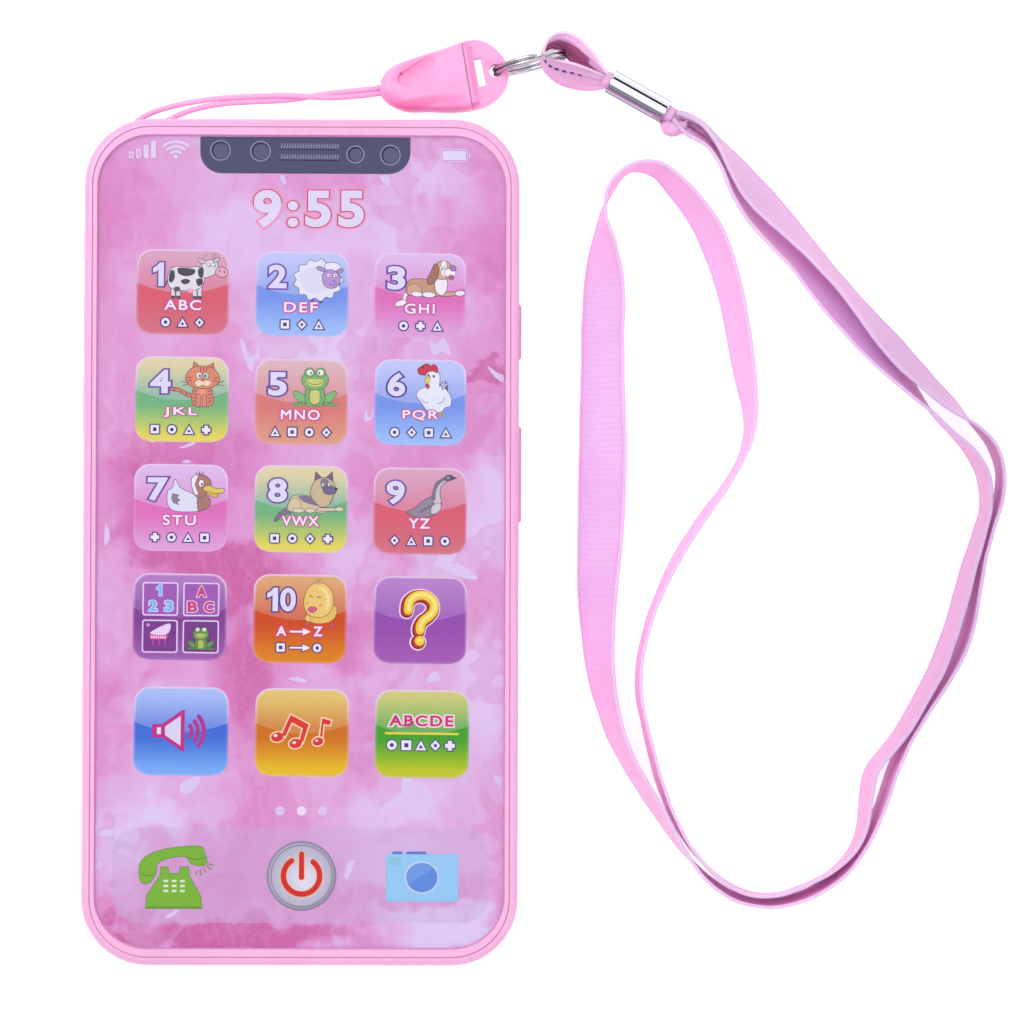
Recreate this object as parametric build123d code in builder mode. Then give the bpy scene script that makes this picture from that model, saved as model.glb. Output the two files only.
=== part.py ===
from build123d import *
import math
import os

# Toy cell phone with a neck lanyard.  Millimetres.
# Origin: centre of the phone's back face.  +Z out of the screen, +Y towards the end that
# carries the strap, +X to the right when the screen faces the viewer.

os.makedirs("parts", exist_ok=True)

# ================================================================ shared dimensions
# phone body
WIDTH = 74.6
HEIGHT = 145.0
THICKNESS = 15.5
CORNER_R = 11.4       # outer corner radius in plan
WALL = 1.6            # side wall
FLOOR = 1.5           # back wall
Z_SPLIT = 9.8         # parting plane between rear shell and front frame
LIP_T = 0.7           # tongue of the rear shell at the parting plane
LIP_H = 0.9
SCOOP = (-18.75, -HEIGHT / 2 - 6.0)   # round scoop in the -Y side, cut across the split
SCOOP_R = 6.5

# screen stack, from the deck of the front frame upwards
DECK_Z0 = 13.9        # underside of the deck
DECK_Z1 = 14.7
SHEET_Z0, SHEET_T = 14.72, 0.20
FILM_Z0, FILM_T = 14.95, 0.35
FILM_W, FILM_H, FILM_R = 70.0, 139.2, 9.0

# touch board, with its components on the underside
BOARD_Z0, BOARD_T = 13.05, 0.8

# battery bay: three AAA cells side by side
CELL_R, CELL_BODY, CELL_NUB = 5.25, 43.5, 1.0
CELLS = ((-10.7, 1), (0.0, -1), (10.7, 1))   # x, direction in y of the nub end
CELL_Z = 7.0
BAY_W, BAY_Y0, BAY_Y1 = 32.6, -58.0, -8.0
BAY_LENGTH = BAY_Y1 - BAY_Y0
BAY_MID = (0, (BAY_Y0 + BAY_Y1) / 2)
BAY_WALL = 1.4
BAY_ROOF_Z0, BAY_ROOF_Z1 = 12.35, 13.0
PLATE_T = 0.4         # contact plates

# battery door
DOOR_W, DOOR_Y0, DOOR_Y1, DOOR_T = 36.0, -61.0, -0.5, 1.4
DOOR_LENGTH = DOOR_Y1 - DOOR_Y0
DOOR_MID = (0, (DOOR_Y0 + DOOR_Y1) / 2)
DOOR_GAP = 0.1
TONGUE_X = (-9, 9)
TONGUE_W = 5.0

# speaker
SPEAKER = (0.0, 34.0)
SPEAKER_R = 14.0
SPEAKER_AXIS = Axis((*SPEAKER, 0), (0, 0, 1))

# screws and their holes
CASE_SCREWS = [(-31.0, 61.0), (31.0, 61.0), (-31.0, -64.0), (31.0, -64.0)]
DOOR_SCREW = (0, -4.2)
HEAD_R, HEAD_HOLE_R = 2.1, 2.3
SHANK_R, SHANK_HOLE_R = 1.0, 1.25
BOSS_TOP = 6.0        # top of the rear shell's case screw bosses

# side keys: name: (side in x, centre y, length)
SIDE_KEYS = {
    "mute_key": (-1, 51.2, 5.7),
    "volume_up_key": (-1, 37.35, 10.6),
    "volume_down_key": (-1, 23.7, 10.6),
    "side_key": (1, 36.4, 9.9),
}
KEY_Z, KEY_H, KEY_OUT, KEY_GAP = 7.75, 2.6, 0.5, 0.12
SIDE_BOARD_X, SIDE_BOARD_T = 30.7, 1.0

# strap eyelet; the whole lanyard hardware is centred on the height STRAP_Z
STRAP_Z = 6.8
EYELET = (-28.0, 71.2)
POST_R = 1.0


# ================================================================ helpers
def finish(builder, label):
    """Name a finished piece and write its STEP file."""
    builder.part.label = label
    export_step(builder.part, "parts/" + label + ".step")


def plan(z):
    """Horizontal plane at height z."""
    return Plane.XY.offset(z)


def facing_y(x, y, z, sign=1):
    """Plane through a point, facing +Y or -Y, with sketch x along +X."""
    return Plane(origin=(x, y, z), x_dir=(1, 0, 0), z_dir=(0, sign, 0))


def facing_x(x, y, z, sign):
    """Plane through a point, facing +X or -X, with sketch x along +Y."""
    return Plane(origin=(x, y, z), x_dir=(0, 1, 0), z_dir=(sign, 0, 0))


def direction(degrees):
    """Horizontal unit vector at an angle from +X."""
    angle = math.radians(degrees)
    return (math.cos(angle), math.sin(angle), 0)


def body_outline(inset=0.0, mode=Mode.ADD):
    """Add the phone's plan outline, moved inwards, to the open sketch."""
    RectangleRounded(WIDTH - 2 * inset, HEIGHT - 2 * inset, CORNER_R - inset, mode=mode)


# ================================================================ rear shell
BACK_FILLET = 2.6
BUMP_Y, BUMP_LENGTH = 11.75, 17.3     # bump on the right side
BUMP_Y0, BUMP_Y1 = BUMP_Y - BUMP_LENGTH / 2, BUMP_Y + BUMP_LENGTH / 2
BUMP_ROOT_X, BUMP_FACE_X = WIDTH / 2 - 0.4, WIDTH / 2 + KEY_OUT
BUMP_RAMP = 0.6
RIB_OFFSET = 0.95                     # from the middle of a side board to a rib
RIB_ROWS = ((-1, (30.5, 44.6)), (1, (31.6, 41.2)))   # side in x, rows in y
TONGUE_POCKET_W = 5.6
TONGUE_POCKETS = ((DOOR_T, -61.1, -57.9, 2.6), (FLOOR, -63.9, -61.0, 2.5))  # z, y0, y1, depth
GRILLE_HOLE_R = 0.8
GRILLE_RINGS = ((3.2, 6), (6.4, 12), (9.6, 18))      # radius, number of holes
EYELET_POCKET_H = 3.8

with BuildPart() as rear_shell:
    with BuildSketch(plan(0)):
        body_outline()
    extrude(amount=Z_SPLIT)
    fillet(rear_shell.faces().sort_by(Axis.Z)[0].edges(), BACK_FILLET)
    with BuildSketch(plan(FLOOR)):
        body_outline(WALL)
    extrude(amount=Z_SPLIT, mode=Mode.SUBTRACT)
    # tongue that locates the front frame
    with BuildSketch(plan(Z_SPLIT)):
        body_outline(WALL - LIP_T)
        body_outline(WALL, Mode.SUBTRACT)
    extrude(amount=LIP_H)
    # thickened pad round the battery opening
    with BuildSketch(plan(FLOOR)):
        with Locations(DOOR_MID):
            Rectangle(40, 64)
    extrude(amount=1.1)
    # block for the battery box, hollowed out below
    with BuildSketch(plan(FLOOR)):
        with Locations(BAY_MID):
            Rectangle(BAY_W + 2 * BAY_WALL, BAY_LENGTH + 2 * BAY_WALL)
    extrude(amount=BAY_ROOF_Z1 - FLOOR)
    # boss for the door screw
    with BuildSketch(plan(2.5)):
        with Locations(DOOR_SCREW):
            Circle(4.2)
    extrude(amount=4.0)
    # case screw bosses
    with BuildSketch(plan(FLOOR)):
        with Locations(*CASE_SCREWS):
            Circle(3.2)
    extrude(amount=BOSS_TOP - FLOOR)
    # speaker seat
    with BuildSketch(plan(FLOOR)):
        with Locations(SPEAKER):
            Circle(SPEAKER_R + 1.35)
            Circle(SPEAKER_R + 0.25, mode=Mode.SUBTRACT)
    extrude(amount=3.0)
    # block that carries the strap eyelet, trimmed to the corner
    with BuildSketch(plan(FLOOR)):
        with Locations((-28.3, 70.0)):
            Rectangle(11.4, 7.4)
        body_outline(0.3, Mode.INTERSECT)
    extrude(amount=Z_SPLIT - FLOOR)
    # ribs that hold the two key boards upright
    with BuildSketch(plan(FLOOR)):
        with Locations(*[(side * (SIDE_BOARD_X + offset), y) for side, rows in RIB_ROWS
                         for y in rows for offset in (RIB_OFFSET, -RIB_OFFSET)]):
            Rectangle(0.8, 2.0)
    extrude(amount=5.5)
    # moulded bump on the right side, ramped at both ends
    with BuildSketch(plan(KEY_Z - KEY_H / 2)):
        with BuildLine():
            Polyline((BUMP_ROOT_X, BUMP_Y1), (BUMP_FACE_X, BUMP_Y1 - BUMP_RAMP),
                     (BUMP_FACE_X, BUMP_Y0 + BUMP_RAMP), (BUMP_ROOT_X, BUMP_Y0), close=True)
        make_face()
    extrude(amount=KEY_H)
    # battery opening and door recess
    with BuildSketch(plan(0)):
        with Locations(BAY_MID):
            Rectangle(BAY_W, BAY_LENGTH)
    extrude(amount=BAY_ROOF_Z0, mode=Mode.SUBTRACT)
    with BuildSketch(plan(0)):
        with Locations(DOOR_MID):
            RectangleRounded(DOOR_W + 2 * DOOR_GAP, DOOR_LENGTH + 2 * DOOR_GAP, 1.1)
    extrude(amount=DOOR_T + 0.05, mode=Mode.SUBTRACT)
    # pockets behind the lip for the door's two tongues
    for z, y0, y1, depth in TONGUE_POCKETS:
        with BuildSketch(plan(z)):
            with Locations(*[(x, (y0 + y1) / 2) for x in TONGUE_X]):
                Rectangle(TONGUE_POCKET_W, y1 - y0)
        extrude(amount=depth, mode=Mode.SUBTRACT)
    # pocket for the door's screw cup, and the hole in the boss
    with BuildSketch(plan(DOOR_T)):
        with Locations(DOOR_SCREW):
            Circle(3.45)
    extrude(amount=1.1, mode=Mode.SUBTRACT)
    with BuildSketch(plan(2.4)):
        with Locations(DOOR_SCREW):
            Circle(SHANK_HOLE_R)
    extrude(amount=3.4, mode=Mode.SUBTRACT)
    # case screw holes, counterbored from the back
    for radius, depth in ((HEAD_HOLE_R, 3.5), (SHANK_HOLE_R, BOSS_TOP)):
        with BuildSketch(plan(0)):
            with Locations(*CASE_SCREWS):
                Circle(radius)
        extrude(amount=depth, mode=Mode.SUBTRACT)
    # speaker grille
    with BuildSketch(plan(0)):
        with Locations(SPEAKER):
            Circle(GRILLE_HOLE_R)
            for ring_radius, count in GRILLE_RINGS:
                with PolarLocations(ring_radius, count):
                    Circle(GRILLE_HOLE_R)
    extrude(amount=FLOOR, mode=Mode.SUBTRACT)
    # strap eyelet: a pocket open to the +Y side, with an upright post in it
    with BuildSketch(plan(STRAP_Z - EYELET_POCKET_H / 2)):
        with Locations(EYELET):
            Circle(3.1)
        with Locations((-28.2, 72.6)):
            Rectangle(9.2, 5.8)
    extrude(amount=EYELET_POCKET_H, mode=Mode.SUBTRACT)
    with BuildSketch(plan(STRAP_Z - EYELET_POCKET_H / 2 - 0.05)):
        with Locations(EYELET):
            Circle(POST_R)
    extrude(amount=EYELET_POCKET_H + 0.1)
    # side key windows
    for side, y, length in SIDE_KEYS.values():
        with BuildSketch(plan(KEY_Z - KEY_H / 2)):
            with Locations((side * (WIDTH / 2 - WALL / 2), y)):
                Rectangle(WALL + 2.0, length + 2 * KEY_GAP)
        extrude(amount=KEY_H, mode=Mode.SUBTRACT)
    # shallow scoop in the -Y side
    with BuildSketch(plan(3.0)):
        with Locations(SCOOP):
            Circle(SCOOP_R)
    extrude(amount=Z_SPLIT, mode=Mode.SUBTRACT)
finish(rear_shell, "rear_shell")

# ================================================================ front frame
RIM_FILLET = 1.3
REBATE_GAP = 0.08
GROOVE_DEPTH = 0.3
GROOVE_INSETS = (1.35, 1.55)          # outer and inner edge
POST_Z0 = BOSS_TOP + 0.05

with BuildPart() as front_frame:
    with BuildSketch(plan(Z_SPLIT)):
        body_outline()
    extrude(amount=THICKNESS - Z_SPLIT)
    fillet(front_frame.faces().sort_by(Axis.Z)[-1].edges(), RIM_FILLET)
    with BuildSketch(plan(Z_SPLIT)):
        body_outline(WALL)
    extrude(amount=DECK_Z0 - Z_SPLIT, mode=Mode.SUBTRACT)
    # rebate over the rear shell's tongue
    with BuildSketch(plan(Z_SPLIT)):
        body_outline(WALL - LIP_T - REBATE_GAP)
    extrude(amount=LIP_H + 0.1, mode=Mode.SUBTRACT)
    # pocket for the printed sheet and the clear film
    with BuildSketch(plan(DECK_Z1)):
        RectangleRounded(FILM_W + 0.2, FILM_H + 0.2, FILM_R + 0.1)
    extrude(amount=THICKNESS - DECK_Z1, mode=Mode.SUBTRACT)
    # fine groove that sets off the inner bead of the rim
    with BuildSketch(plan(THICKNESS - GROOVE_DEPTH)):
        body_outline(GROOVE_INSETS[0])
        body_outline(GROOVE_INSETS[1], Mode.SUBTRACT)
    extrude(amount=GROOVE_DEPTH, mode=Mode.SUBTRACT)
    # screw posts hanging from the deck
    with BuildSketch(plan(POST_Z0)):
        with Locations(*CASE_SCREWS):
            Circle(2.6)
    extrude(amount=DECK_Z0 - POST_Z0 + 0.1)
    with BuildSketch(plan(BOSS_TOP)):
        with Locations(*CASE_SCREWS):
            Circle(1.04)
    extrude(amount=6.5, mode=Mode.SUBTRACT)
    # upper end of the scoop
    with BuildSketch(plan(Z_SPLIT - 1)):
        with Locations(SCOOP):
            Circle(SCOOP_R)
    extrude(amount=3.7, mode=Mode.SUBTRACT)
finish(front_frame, "front_frame")

# ================================================================ screen stack
SHEET_INSET = 0.15                    # the sheet is this much smaller than the film all round

with BuildPart() as graphic_sheet:
    with BuildSketch(plan(SHEET_Z0)):
        RectangleRounded(FILM_W - 2 * SHEET_INSET, FILM_H - 2 * SHEET_INSET, FILM_R - SHEET_INSET)
    extrude(amount=SHEET_T)
finish(graphic_sheet, "graphic_sheet")

with BuildPart() as screen_film:
    with BuildSketch(plan(FILM_Z0)):
        RectangleRounded(FILM_W, FILM_H, FILM_R)
    extrude(amount=FILM_T)
    chamfer(screen_film.faces().sort_by(Axis.Z)[-1].edges(), 0.15)
finish(screen_film, "screen_film")

# ================================================================ touch board
BOARD_W, BOARD_H, BOARD_R = 68, 138, 8
VENT_Y = 66.5
ICON_X = (-20.45, 0.0, 20.45)
ICON_Y = (42.45, 24.0, 5.5, -13.3, -32.7)
DOCK_X = (-20.8, 0, 21.0)
DOCK_Y = -57.2
CHIP_H = 1.49
SMD_PLACES = [(x, y) for x in (-26, -8) for y in (12, 8, 4)] + [(-20, -1), (-14, -1)]
CAPACITOR_X, CAPACITOR_Y, CAPACITOR_Z = 22, 4, BOARD_Z0 - 2.55
CAPACITOR_R, CAPACITOR_LENGTH = 2.5, 7.0

with BuildPart() as touch_board:
    with BuildSketch(plan(BOARD_Z0)):
        RectangleRounded(BOARD_W, BOARD_H, BOARD_R)
        # clearance for the screw posts, set slightly outwards
        with Locations(*[(x * 1.03, y) for x, y in CASE_SCREWS]):
            Circle(3.6, mode=Mode.SUBTRACT)
        # vents that let the adhesive squeeze out, on the centreline
        with Locations((0, VENT_Y), (0, -VENT_Y)):
            SlotOverall(6, 2, mode=Mode.SUBTRACT)
    extrude(amount=BOARD_T)
finish(touch_board, "touch_board")

with BuildPart() as touch_pads:
    with BuildSketch(plan(BOARD_Z0 + BOARD_T)):
        with Locations(*[(x, y) for y in ICON_Y for x in ICON_X]):
            RectangleRounded(12.5, 11.5, 2)
        with Locations(*[(x, DOCK_Y) for x in DOCK_X]):
            Circle(5)
    extrude(amount=0.04)
finish(touch_pads, "touch_pads")

# bonded chip under its drop of black resin
with BuildPart() as chip_blob:
    with BuildSketch(plan(BOARD_Z0 - CHIP_H - 0.01)):
        with Locations((-17, 8)):
            Circle(5.0)
    extrude(amount=CHIP_H)
    fillet(chip_blob.faces().sort_by(Axis.Z)[0].edges(), 1.3)
finish(chip_blob, "chip_blob")

with BuildPart() as smd_parts:
    with BuildSketch(plan(BOARD_Z0 - 0.61)):
        with Locations(*SMD_PLACES):
            Rectangle(2.0, 1.25)
    extrude(amount=0.6)
finish(smd_parts, "smd_parts")

# capacitor lying along +Y, with its two leads
with BuildPart() as electrolytic_capacitor:
    with BuildSketch(facing_y(CAPACITOR_X, CAPACITOR_Y, CAPACITOR_Z)):
        Circle(CAPACITOR_R)
    extrude(amount=CAPACITOR_LENGTH)
    fillet(electrolytic_capacitor.faces().sort_by(Axis.Y)[0].edges(), 0.35)
    with BuildSketch(facing_y(CAPACITOR_X, CAPACITOR_Y + CAPACITOR_LENGTH, CAPACITOR_Z)):
        with Locations((-1.0, 0), (1.0, 0)):
            Circle(0.25)
    extrude(amount=1.6)
finish(electrolytic_capacitor, "electrolytic_capacitor")

# ================================================================ speaker
MAGNET_Z0 = 4.82
# half sections: distance from the speaker's axis, z
FRAME_SECTION = [(11.6, 2.0), (14.0, 2.0), (14.0, 2.7), (12.3, 2.7), (9.0, 4.8), (5.35, 4.8),
                 (5.35, 4.2), (8.7, 4.2), (11.6, 2.4)]
CONE_SECTION = [(0, 2.75), (2.6, 2.9), (5.0, 3.45), (10.9, 2.5), (10.9, 2.2), (5.0, 3.15),
                (2.7, 2.62), (0, 2.45)]

with BuildPart() as speaker_gasket:
    with BuildSketch(plan(FLOOR + 0.02)):
        with Locations(SPEAKER):
            Circle(SPEAKER_R - 0.2)
            Circle(11.4, mode=Mode.SUBTRACT)
    extrude(amount=0.46)
finish(speaker_gasket, "speaker_gasket")

with BuildPart() as speaker_frame:
    with BuildSketch(facing_y(*SPEAKER, 0, -1)):
        with BuildLine():
            Polyline(*FRAME_SECTION, close=True)
        make_face()
    revolve(axis=SPEAKER_AXIS)
finish(speaker_frame, "speaker_frame")

with BuildPart() as speaker_magnet:
    with BuildSketch(plan(MAGNET_Z0)):
        with Locations(SPEAKER):
            Circle(7.4)
    extrude(amount=2.4)
    # ring groove for the cone's collar
    with BuildSketch(plan(MAGNET_Z0)):
        with Locations(SPEAKER):
            Circle(5.4)
            Circle(4.4, mode=Mode.SUBTRACT)
    extrude(amount=1.3, mode=Mode.SUBTRACT)
    fillet(speaker_magnet.faces().sort_by(Axis.Z)[-1].edges(), 0.4)
finish(speaker_magnet, "speaker_magnet")

with BuildPart() as speaker_cone:
    with BuildSketch(facing_y(*SPEAKER, 0, -1)):
        with BuildLine():
            Polyline(*CONE_SECTION, close=True)
        make_face()
    revolve(axis=SPEAKER_AXIS)
    # thin collar that reaches into the magnet's groove
    with BuildSketch(plan(3.25)):
        with Locations(SPEAKER):
            Circle(5.05)
            Circle(4.75, mode=Mode.SUBTRACT)
    extrude(amount=2.2)
finish(speaker_cone, "speaker_cone")

# ================================================================ leads
LEAD_R = 0.5
# points (x, y, z) on each centreline
LEADS = {
    "speaker_lead_red":
        [(8.2, 26.0, 5.4), (11.0, 22.5, 7.5), (12.5, 19.0, 11.0), (12.5, 17.0, 12.5)],
    "speaker_lead_black":
        [(5.6, 25.0, 5.4), (8.2, 21.0, 7.5), (9.0, 18.0, 11.0), (9.0, 16.0, 12.5)],
    "battery_lead_red":
        [(-13.0, -6.0, 6.0), (-13.5, -4.6, 8.5), (-13.0, -3.4, 11.2), (-12.5, -3.0, 12.5)],
    "battery_lead_black":
        [(13.0, -6.0, 6.0), (13.5, -4.6, 8.5), (13.0, -3.4, 11.2), (12.5, -3.0, 12.5)],
}


def lead(label, points):
    """Insulated wire swept along a smooth path."""
    with BuildPart() as wire:
        with BuildLine() as path:
            Spline(*points)
        with BuildSketch(Plane(origin=path.line @ 0, z_dir=path.line % 0)):
            Circle(LEAD_R)
        sweep()
    finish(wire, label)


for label, points in LEADS.items():
    lead(label, points)

# ================================================================ power
CONTACT_GAP = 0.02                    # between a nub and its contact plate
SPRING_LENGTH = BAY_LENGTH - 2 * PLATE_T - CELL_BODY - CELL_NUB - 0.08
SPRING_INSET = 0.45                   # from each end of that length to the wire's centre
# centre x, y, width
PLATES = (
    (-5.35, BAY_Y0 + PLATE_T / 2, 19.5),
    (10.9, BAY_Y0 + PLATE_T / 2, 8.6),
    (-10.9, BAY_Y1 - PLATE_T / 2, 8.6),
    (5.35, BAY_Y1 - PLATE_T / 2, 19.5),
)

with BuildPart() as battery_cells:
    for x, up in CELLS:
        # the nub end rests on a flat contact plate, the other end on a spring
        plate_y = BAY_Y1 if up == 1 else BAY_Y0
        shoulder_y = plate_y - up * (PLATE_T + CONTACT_GAP + CELL_NUB)
        with BuildSketch(facing_y(x, shoulder_y, CELL_Z, -up)):
            Circle(CELL_R)
        extrude(amount=CELL_BODY)
        with BuildSketch(facing_y(x, shoulder_y, CELL_Z, up)):
            Circle(1.9)
        extrude(amount=CELL_NUB)
finish(battery_cells, "battery_cells")

with BuildPart() as battery_springs:
    for x, up in CELLS:
        plate_y = BAY_Y0 if up == 1 else BAY_Y1
        with BuildLine() as coil:
            Helix(pitch=1.35, height=SPRING_LENGTH - 2 * SPRING_INSET, radius=2.9,
                  center=(x, plate_y + up * (PLATE_T + SPRING_INSET), CELL_Z),
                  direction=(0, up, 0))
        with BuildSketch(Plane(origin=coil.line @ 0, z_dir=coil.line % 0)):
            Circle(0.35)
        sweep(is_frenet=True)
finish(battery_springs, "battery_springs")

with BuildPart() as contact_plates:
    with BuildSketch(plan(2.6)):
        for x, y, width in PLATES:
            with Locations((x, y)):
                Rectangle(width, PLATE_T)
    extrude(amount=8.8)
finish(contact_plates, "contact_plates")

# ================================================================ side keys
SWITCH_X = 31.22                      # back of each switch, as a distance from the centreline
CAP_X = 35.6                          # inner end of each key cap

with BuildPart() as side_boards:
    with BuildSketch(plan(4.0)):
        with Locations((-SIDE_BOARD_X, 37.0)):
            Rectangle(SIDE_BOARD_T, 38.0)
        with Locations((SIDE_BOARD_X, 36.4)):
            Rectangle(SIDE_BOARD_T, 14.0)
    extrude(amount=8.0)
finish(side_boards, "side_boards")

with BuildPart() as side_switches:
    for side, y, length in SIDE_KEYS.values():
        with BuildSketch(facing_x(side * SWITCH_X, y, KEY_Z, side)):
            Rectangle(4.4, 3.4)
        extrude(amount=2.4)
        # plunger
        with BuildSketch(facing_x(side * (SWITCH_X + 2.38), y, KEY_Z, side)):
            Circle(0.9)
        extrude(amount=0.8)
finish(side_switches, "side_switches")


def key_cap(label, side, y, length):
    """Key cap that stands proud of the side, with a flange that keeps it in."""
    y0, y1 = y - length / 2, y + length / 2
    cap_h = KEY_H - 2 * KEY_GAP
    root = side * CAP_X
    wall = side * (WIDTH / 2)
    proud = wall + side * KEY_OUT
    ramp = 0.55
    with BuildPart() as cap:
        with BuildSketch(plan(KEY_Z - cap_h / 2)):
            with BuildLine():
                Polyline((root, y0), (wall, y0), (proud, y0 + ramp),
                         (proud, y1 - ramp), (wall, y1), (root, y1), close=True)
            make_face()
        extrude(amount=cap_h)
        outer = cap.faces().sort_by(Axis.X)[-1 if side > 0 else 0]
        fillet(outer.edges(), 0.22)
        with BuildSketch(facing_x(side * (CAP_X + 0.04), y, KEY_Z, -side)):
            Rectangle(length + 1.6, KEY_H + 1.2)
        extrude(amount=0.7)
    finish(cap, label)


for label, (side, y, length) in SIDE_KEYS.items():
    key_cap(label, side, y, length)


# ================================================================ screws
def screws(label, places, z, head_h, head_fillet, shank_length, recess_depth):
    """Cross-head screws driven from the back, heads starting at height z."""
    with BuildPart() as screw:
        with BuildSketch(plan(z)):
            with Locations(*places):
                Circle(HEAD_R)
        extrude(amount=head_h)
        fillet(screw.faces().group_by(Axis.Z)[0].edges(), head_fillet)
        with BuildSketch(plan(z + head_h)):
            with Locations(*places):
                Circle(SHANK_R)
        extrude(amount=shank_length)
        with BuildSketch(plan(z)):
            with Locations(*places):
                Rectangle(2.2, 0.5)
                Rectangle(0.5, 2.2)
        extrude(amount=recess_depth, mode=Mode.SUBTRACT)
    finish(screw, label)


screws("case_screws", CASE_SCREWS, z=2.2, head_h=1.3, head_fillet=0.5,
       shank_length=8.0, recess_depth=0.75)
screws("door_screw", [DOOR_SCREW], z=0.3, head_h=1.08, head_fillet=0.45,
       shank_length=4.0, recess_depth=0.7)

# ================================================================ battery door
# root and toe of the tongues: z, centre y, length in y, height
TONGUE_STEPS = ((DOOR_T - 0.1, -60.35, 1.3, 1.2), (1.62, -61.85, 3.3, 0.88))
GROOVE_Y = (-12.0, -14.0, -16.0, -18.0)

with BuildPart() as battery_door:
    with BuildSketch(plan(0)):
        with Locations(DOOR_MID):
            RectangleRounded(DOOR_W, DOOR_LENGTH, 1.0)
    extrude(amount=DOOR_T)
    # cup that carries the screw head
    with BuildSketch(plan(0.2)):
        with Locations(DOOR_SCREW):
            Circle(3.2)
    extrude(amount=2.2)
    # two tongues under the lip of the rear shell
    for z, y, length, height in TONGUE_STEPS:
        with BuildSketch(plan(z)):
            with Locations(*[(x, y) for x in TONGUE_X]):
                Rectangle(TONGUE_W, length)
        extrude(amount=height)
    # stepped screw hole: radius, depth
    for radius, depth in ((HEAD_HOLE_R, 1.4), (1.06, 2.6)):
        with BuildSketch(plan(0)):
            with Locations(DOOR_SCREW):
                Circle(radius)
        extrude(amount=depth, mode=Mode.SUBTRACT)
    # finger grooves
    with BuildSketch(plan(0)):
        with Locations(*[(0, y) for y in GROOVE_Y]):
            SlotOverall(16, 0.8)
    extrude(amount=0.4, mode=Mode.SUBTRACT)
finish(battery_door, "battery_door")

# ================================================================ clip frame
CLIP_ORIGIN = (13.3, 78.4)
CLIP_ANGLE = 9.7                      # the clip's own axis, from +X
CLIP_AXIS = direction(CLIP_ANGLE)
CLIP_ACROSS = direction(CLIP_ANGLE + 90)


def clip_plane(z):
    """Horizontal plane at height z, in the clip's own frame."""
    return Plane(origin=(*CLIP_ORIGIN, z), x_dir=CLIP_AXIS, z_dir=(0, 0, 1))


# ================================================================ strap cord
CORD_R = 0.6
CORD_TURN_R = POST_R + 0.15 + CORD_R  # centreline radius round the post
CORD_ANGLE = 60                       # direction in which both strands leave the post
CORD_START = direction(CORD_ANGLE)
CORD_MID = (-11.0, 77.6)
CORD_MID_DIR = (0.993, -0.119)
STRAND_OFFSET = 0.72                  # from the middle of the pair to each strand
CORD_END = 3.4                        # how far the strands reach along the clip's axis


def around_post(degrees):
    """Point on the cord's centreline at an angle round the eyelet post."""
    radial = direction(degrees)
    return (EYELET[0] + CORD_TURN_R * radial[0], EYELET[1] + CORD_TURN_R * radial[1], STRAP_Z)


def ahead(point, heading, distance):
    """Point a distance along a horizontal heading."""
    return (point[0] + distance * heading[0], point[1] + distance * heading[1], point[2])


with BuildPart() as strap_cord:
    for side in (1, -1):
        offset = side * STRAND_OFFSET
        start = around_post(CORD_ANGLE + side * 90)
        middle = (CORD_MID[0], CORD_MID[1] + offset, STRAP_Z)
        end = ahead(ahead((*CLIP_ORIGIN, STRAP_Z), CLIP_AXIS, CORD_END), CLIP_ACROSS, offset)
        with BuildLine() as strand:
            Bezier(start, ahead(start, CORD_START, 4.0), ahead(middle, CORD_MID_DIR, -8.0), middle)
            Bezier(middle, ahead(middle, CORD_MID_DIR, 10.0), ahead(end, CLIP_AXIS, -12.0), end)
        with BuildSketch(Plane(origin=start, z_dir=CORD_START)):
            Circle(CORD_R)
        sweep(path=strand.line)
    # half turn round the side of the post away from the clip
    with BuildSketch(Plane(origin=around_post(CORD_ANGLE - 90), z_dir=CORD_START)):
        Circle(CORD_R)
    revolve(axis=Axis((*EYELET, 0), (0, 0, -1)), revolution_arc=180)
finish(strap_cord, "strap_cord")

# ================================================================ quick-release clip
CLIP_T = 7.6                          # thickness of the puffy socket
SOCKET_R = 1.8                        # rounding of its edges
EYE_PLATE_T = 3.0                     # thickness of the plug's eye plate
PART_X = 15.1                         # parting line, along the clip's axis
PART_OVERLAP = 0.05                   # offset of each half's cut from the parting line
CUT_LENGTH, CUT_W = 30, 40            # block that cuts the other half away
SOCKET_X0, TONGUE_X0 = 5.2, 5.5       # inner ends of the socket and the tongue
TONGUE_X1 = PART_X + 0.4
SHOULDER_X = (PART_X + 0.05, PART_X + 0.6, PART_X + 1.6)
SHOULDER_H = CLIP_T / 2 - 0.6         # half height at the parting line
SHOULDER_LOW = EYE_PLATE_T / 2 - 0.1  # half height where it meets the eye plate
RING_HOLE_X, RING_HOLE_R = 20.2, 1.15
# closed outline of the whole clip in plan: x, y
CLIP_OUTLINE = [
    (13.2, 79.1), (14.7, 81.9), (18.0, 83.5), (21.3, 84.6), (25.5, 86.0), (28.1, 86.9),
    (29.8, 87.1), (31.9, 86.5), (33.8, 85.0), (35.1, 83.1), (35.5, 81.2), (35.1, 79.2),
    (33.5, 77.0), (31.4, 75.7), (29.0, 75.1), (24.8, 74.8), (21.3, 74.9), (18.0, 74.9),
    (16.5, 75.3), (14.7, 76.2), (13.4, 77.6),
]

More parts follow.
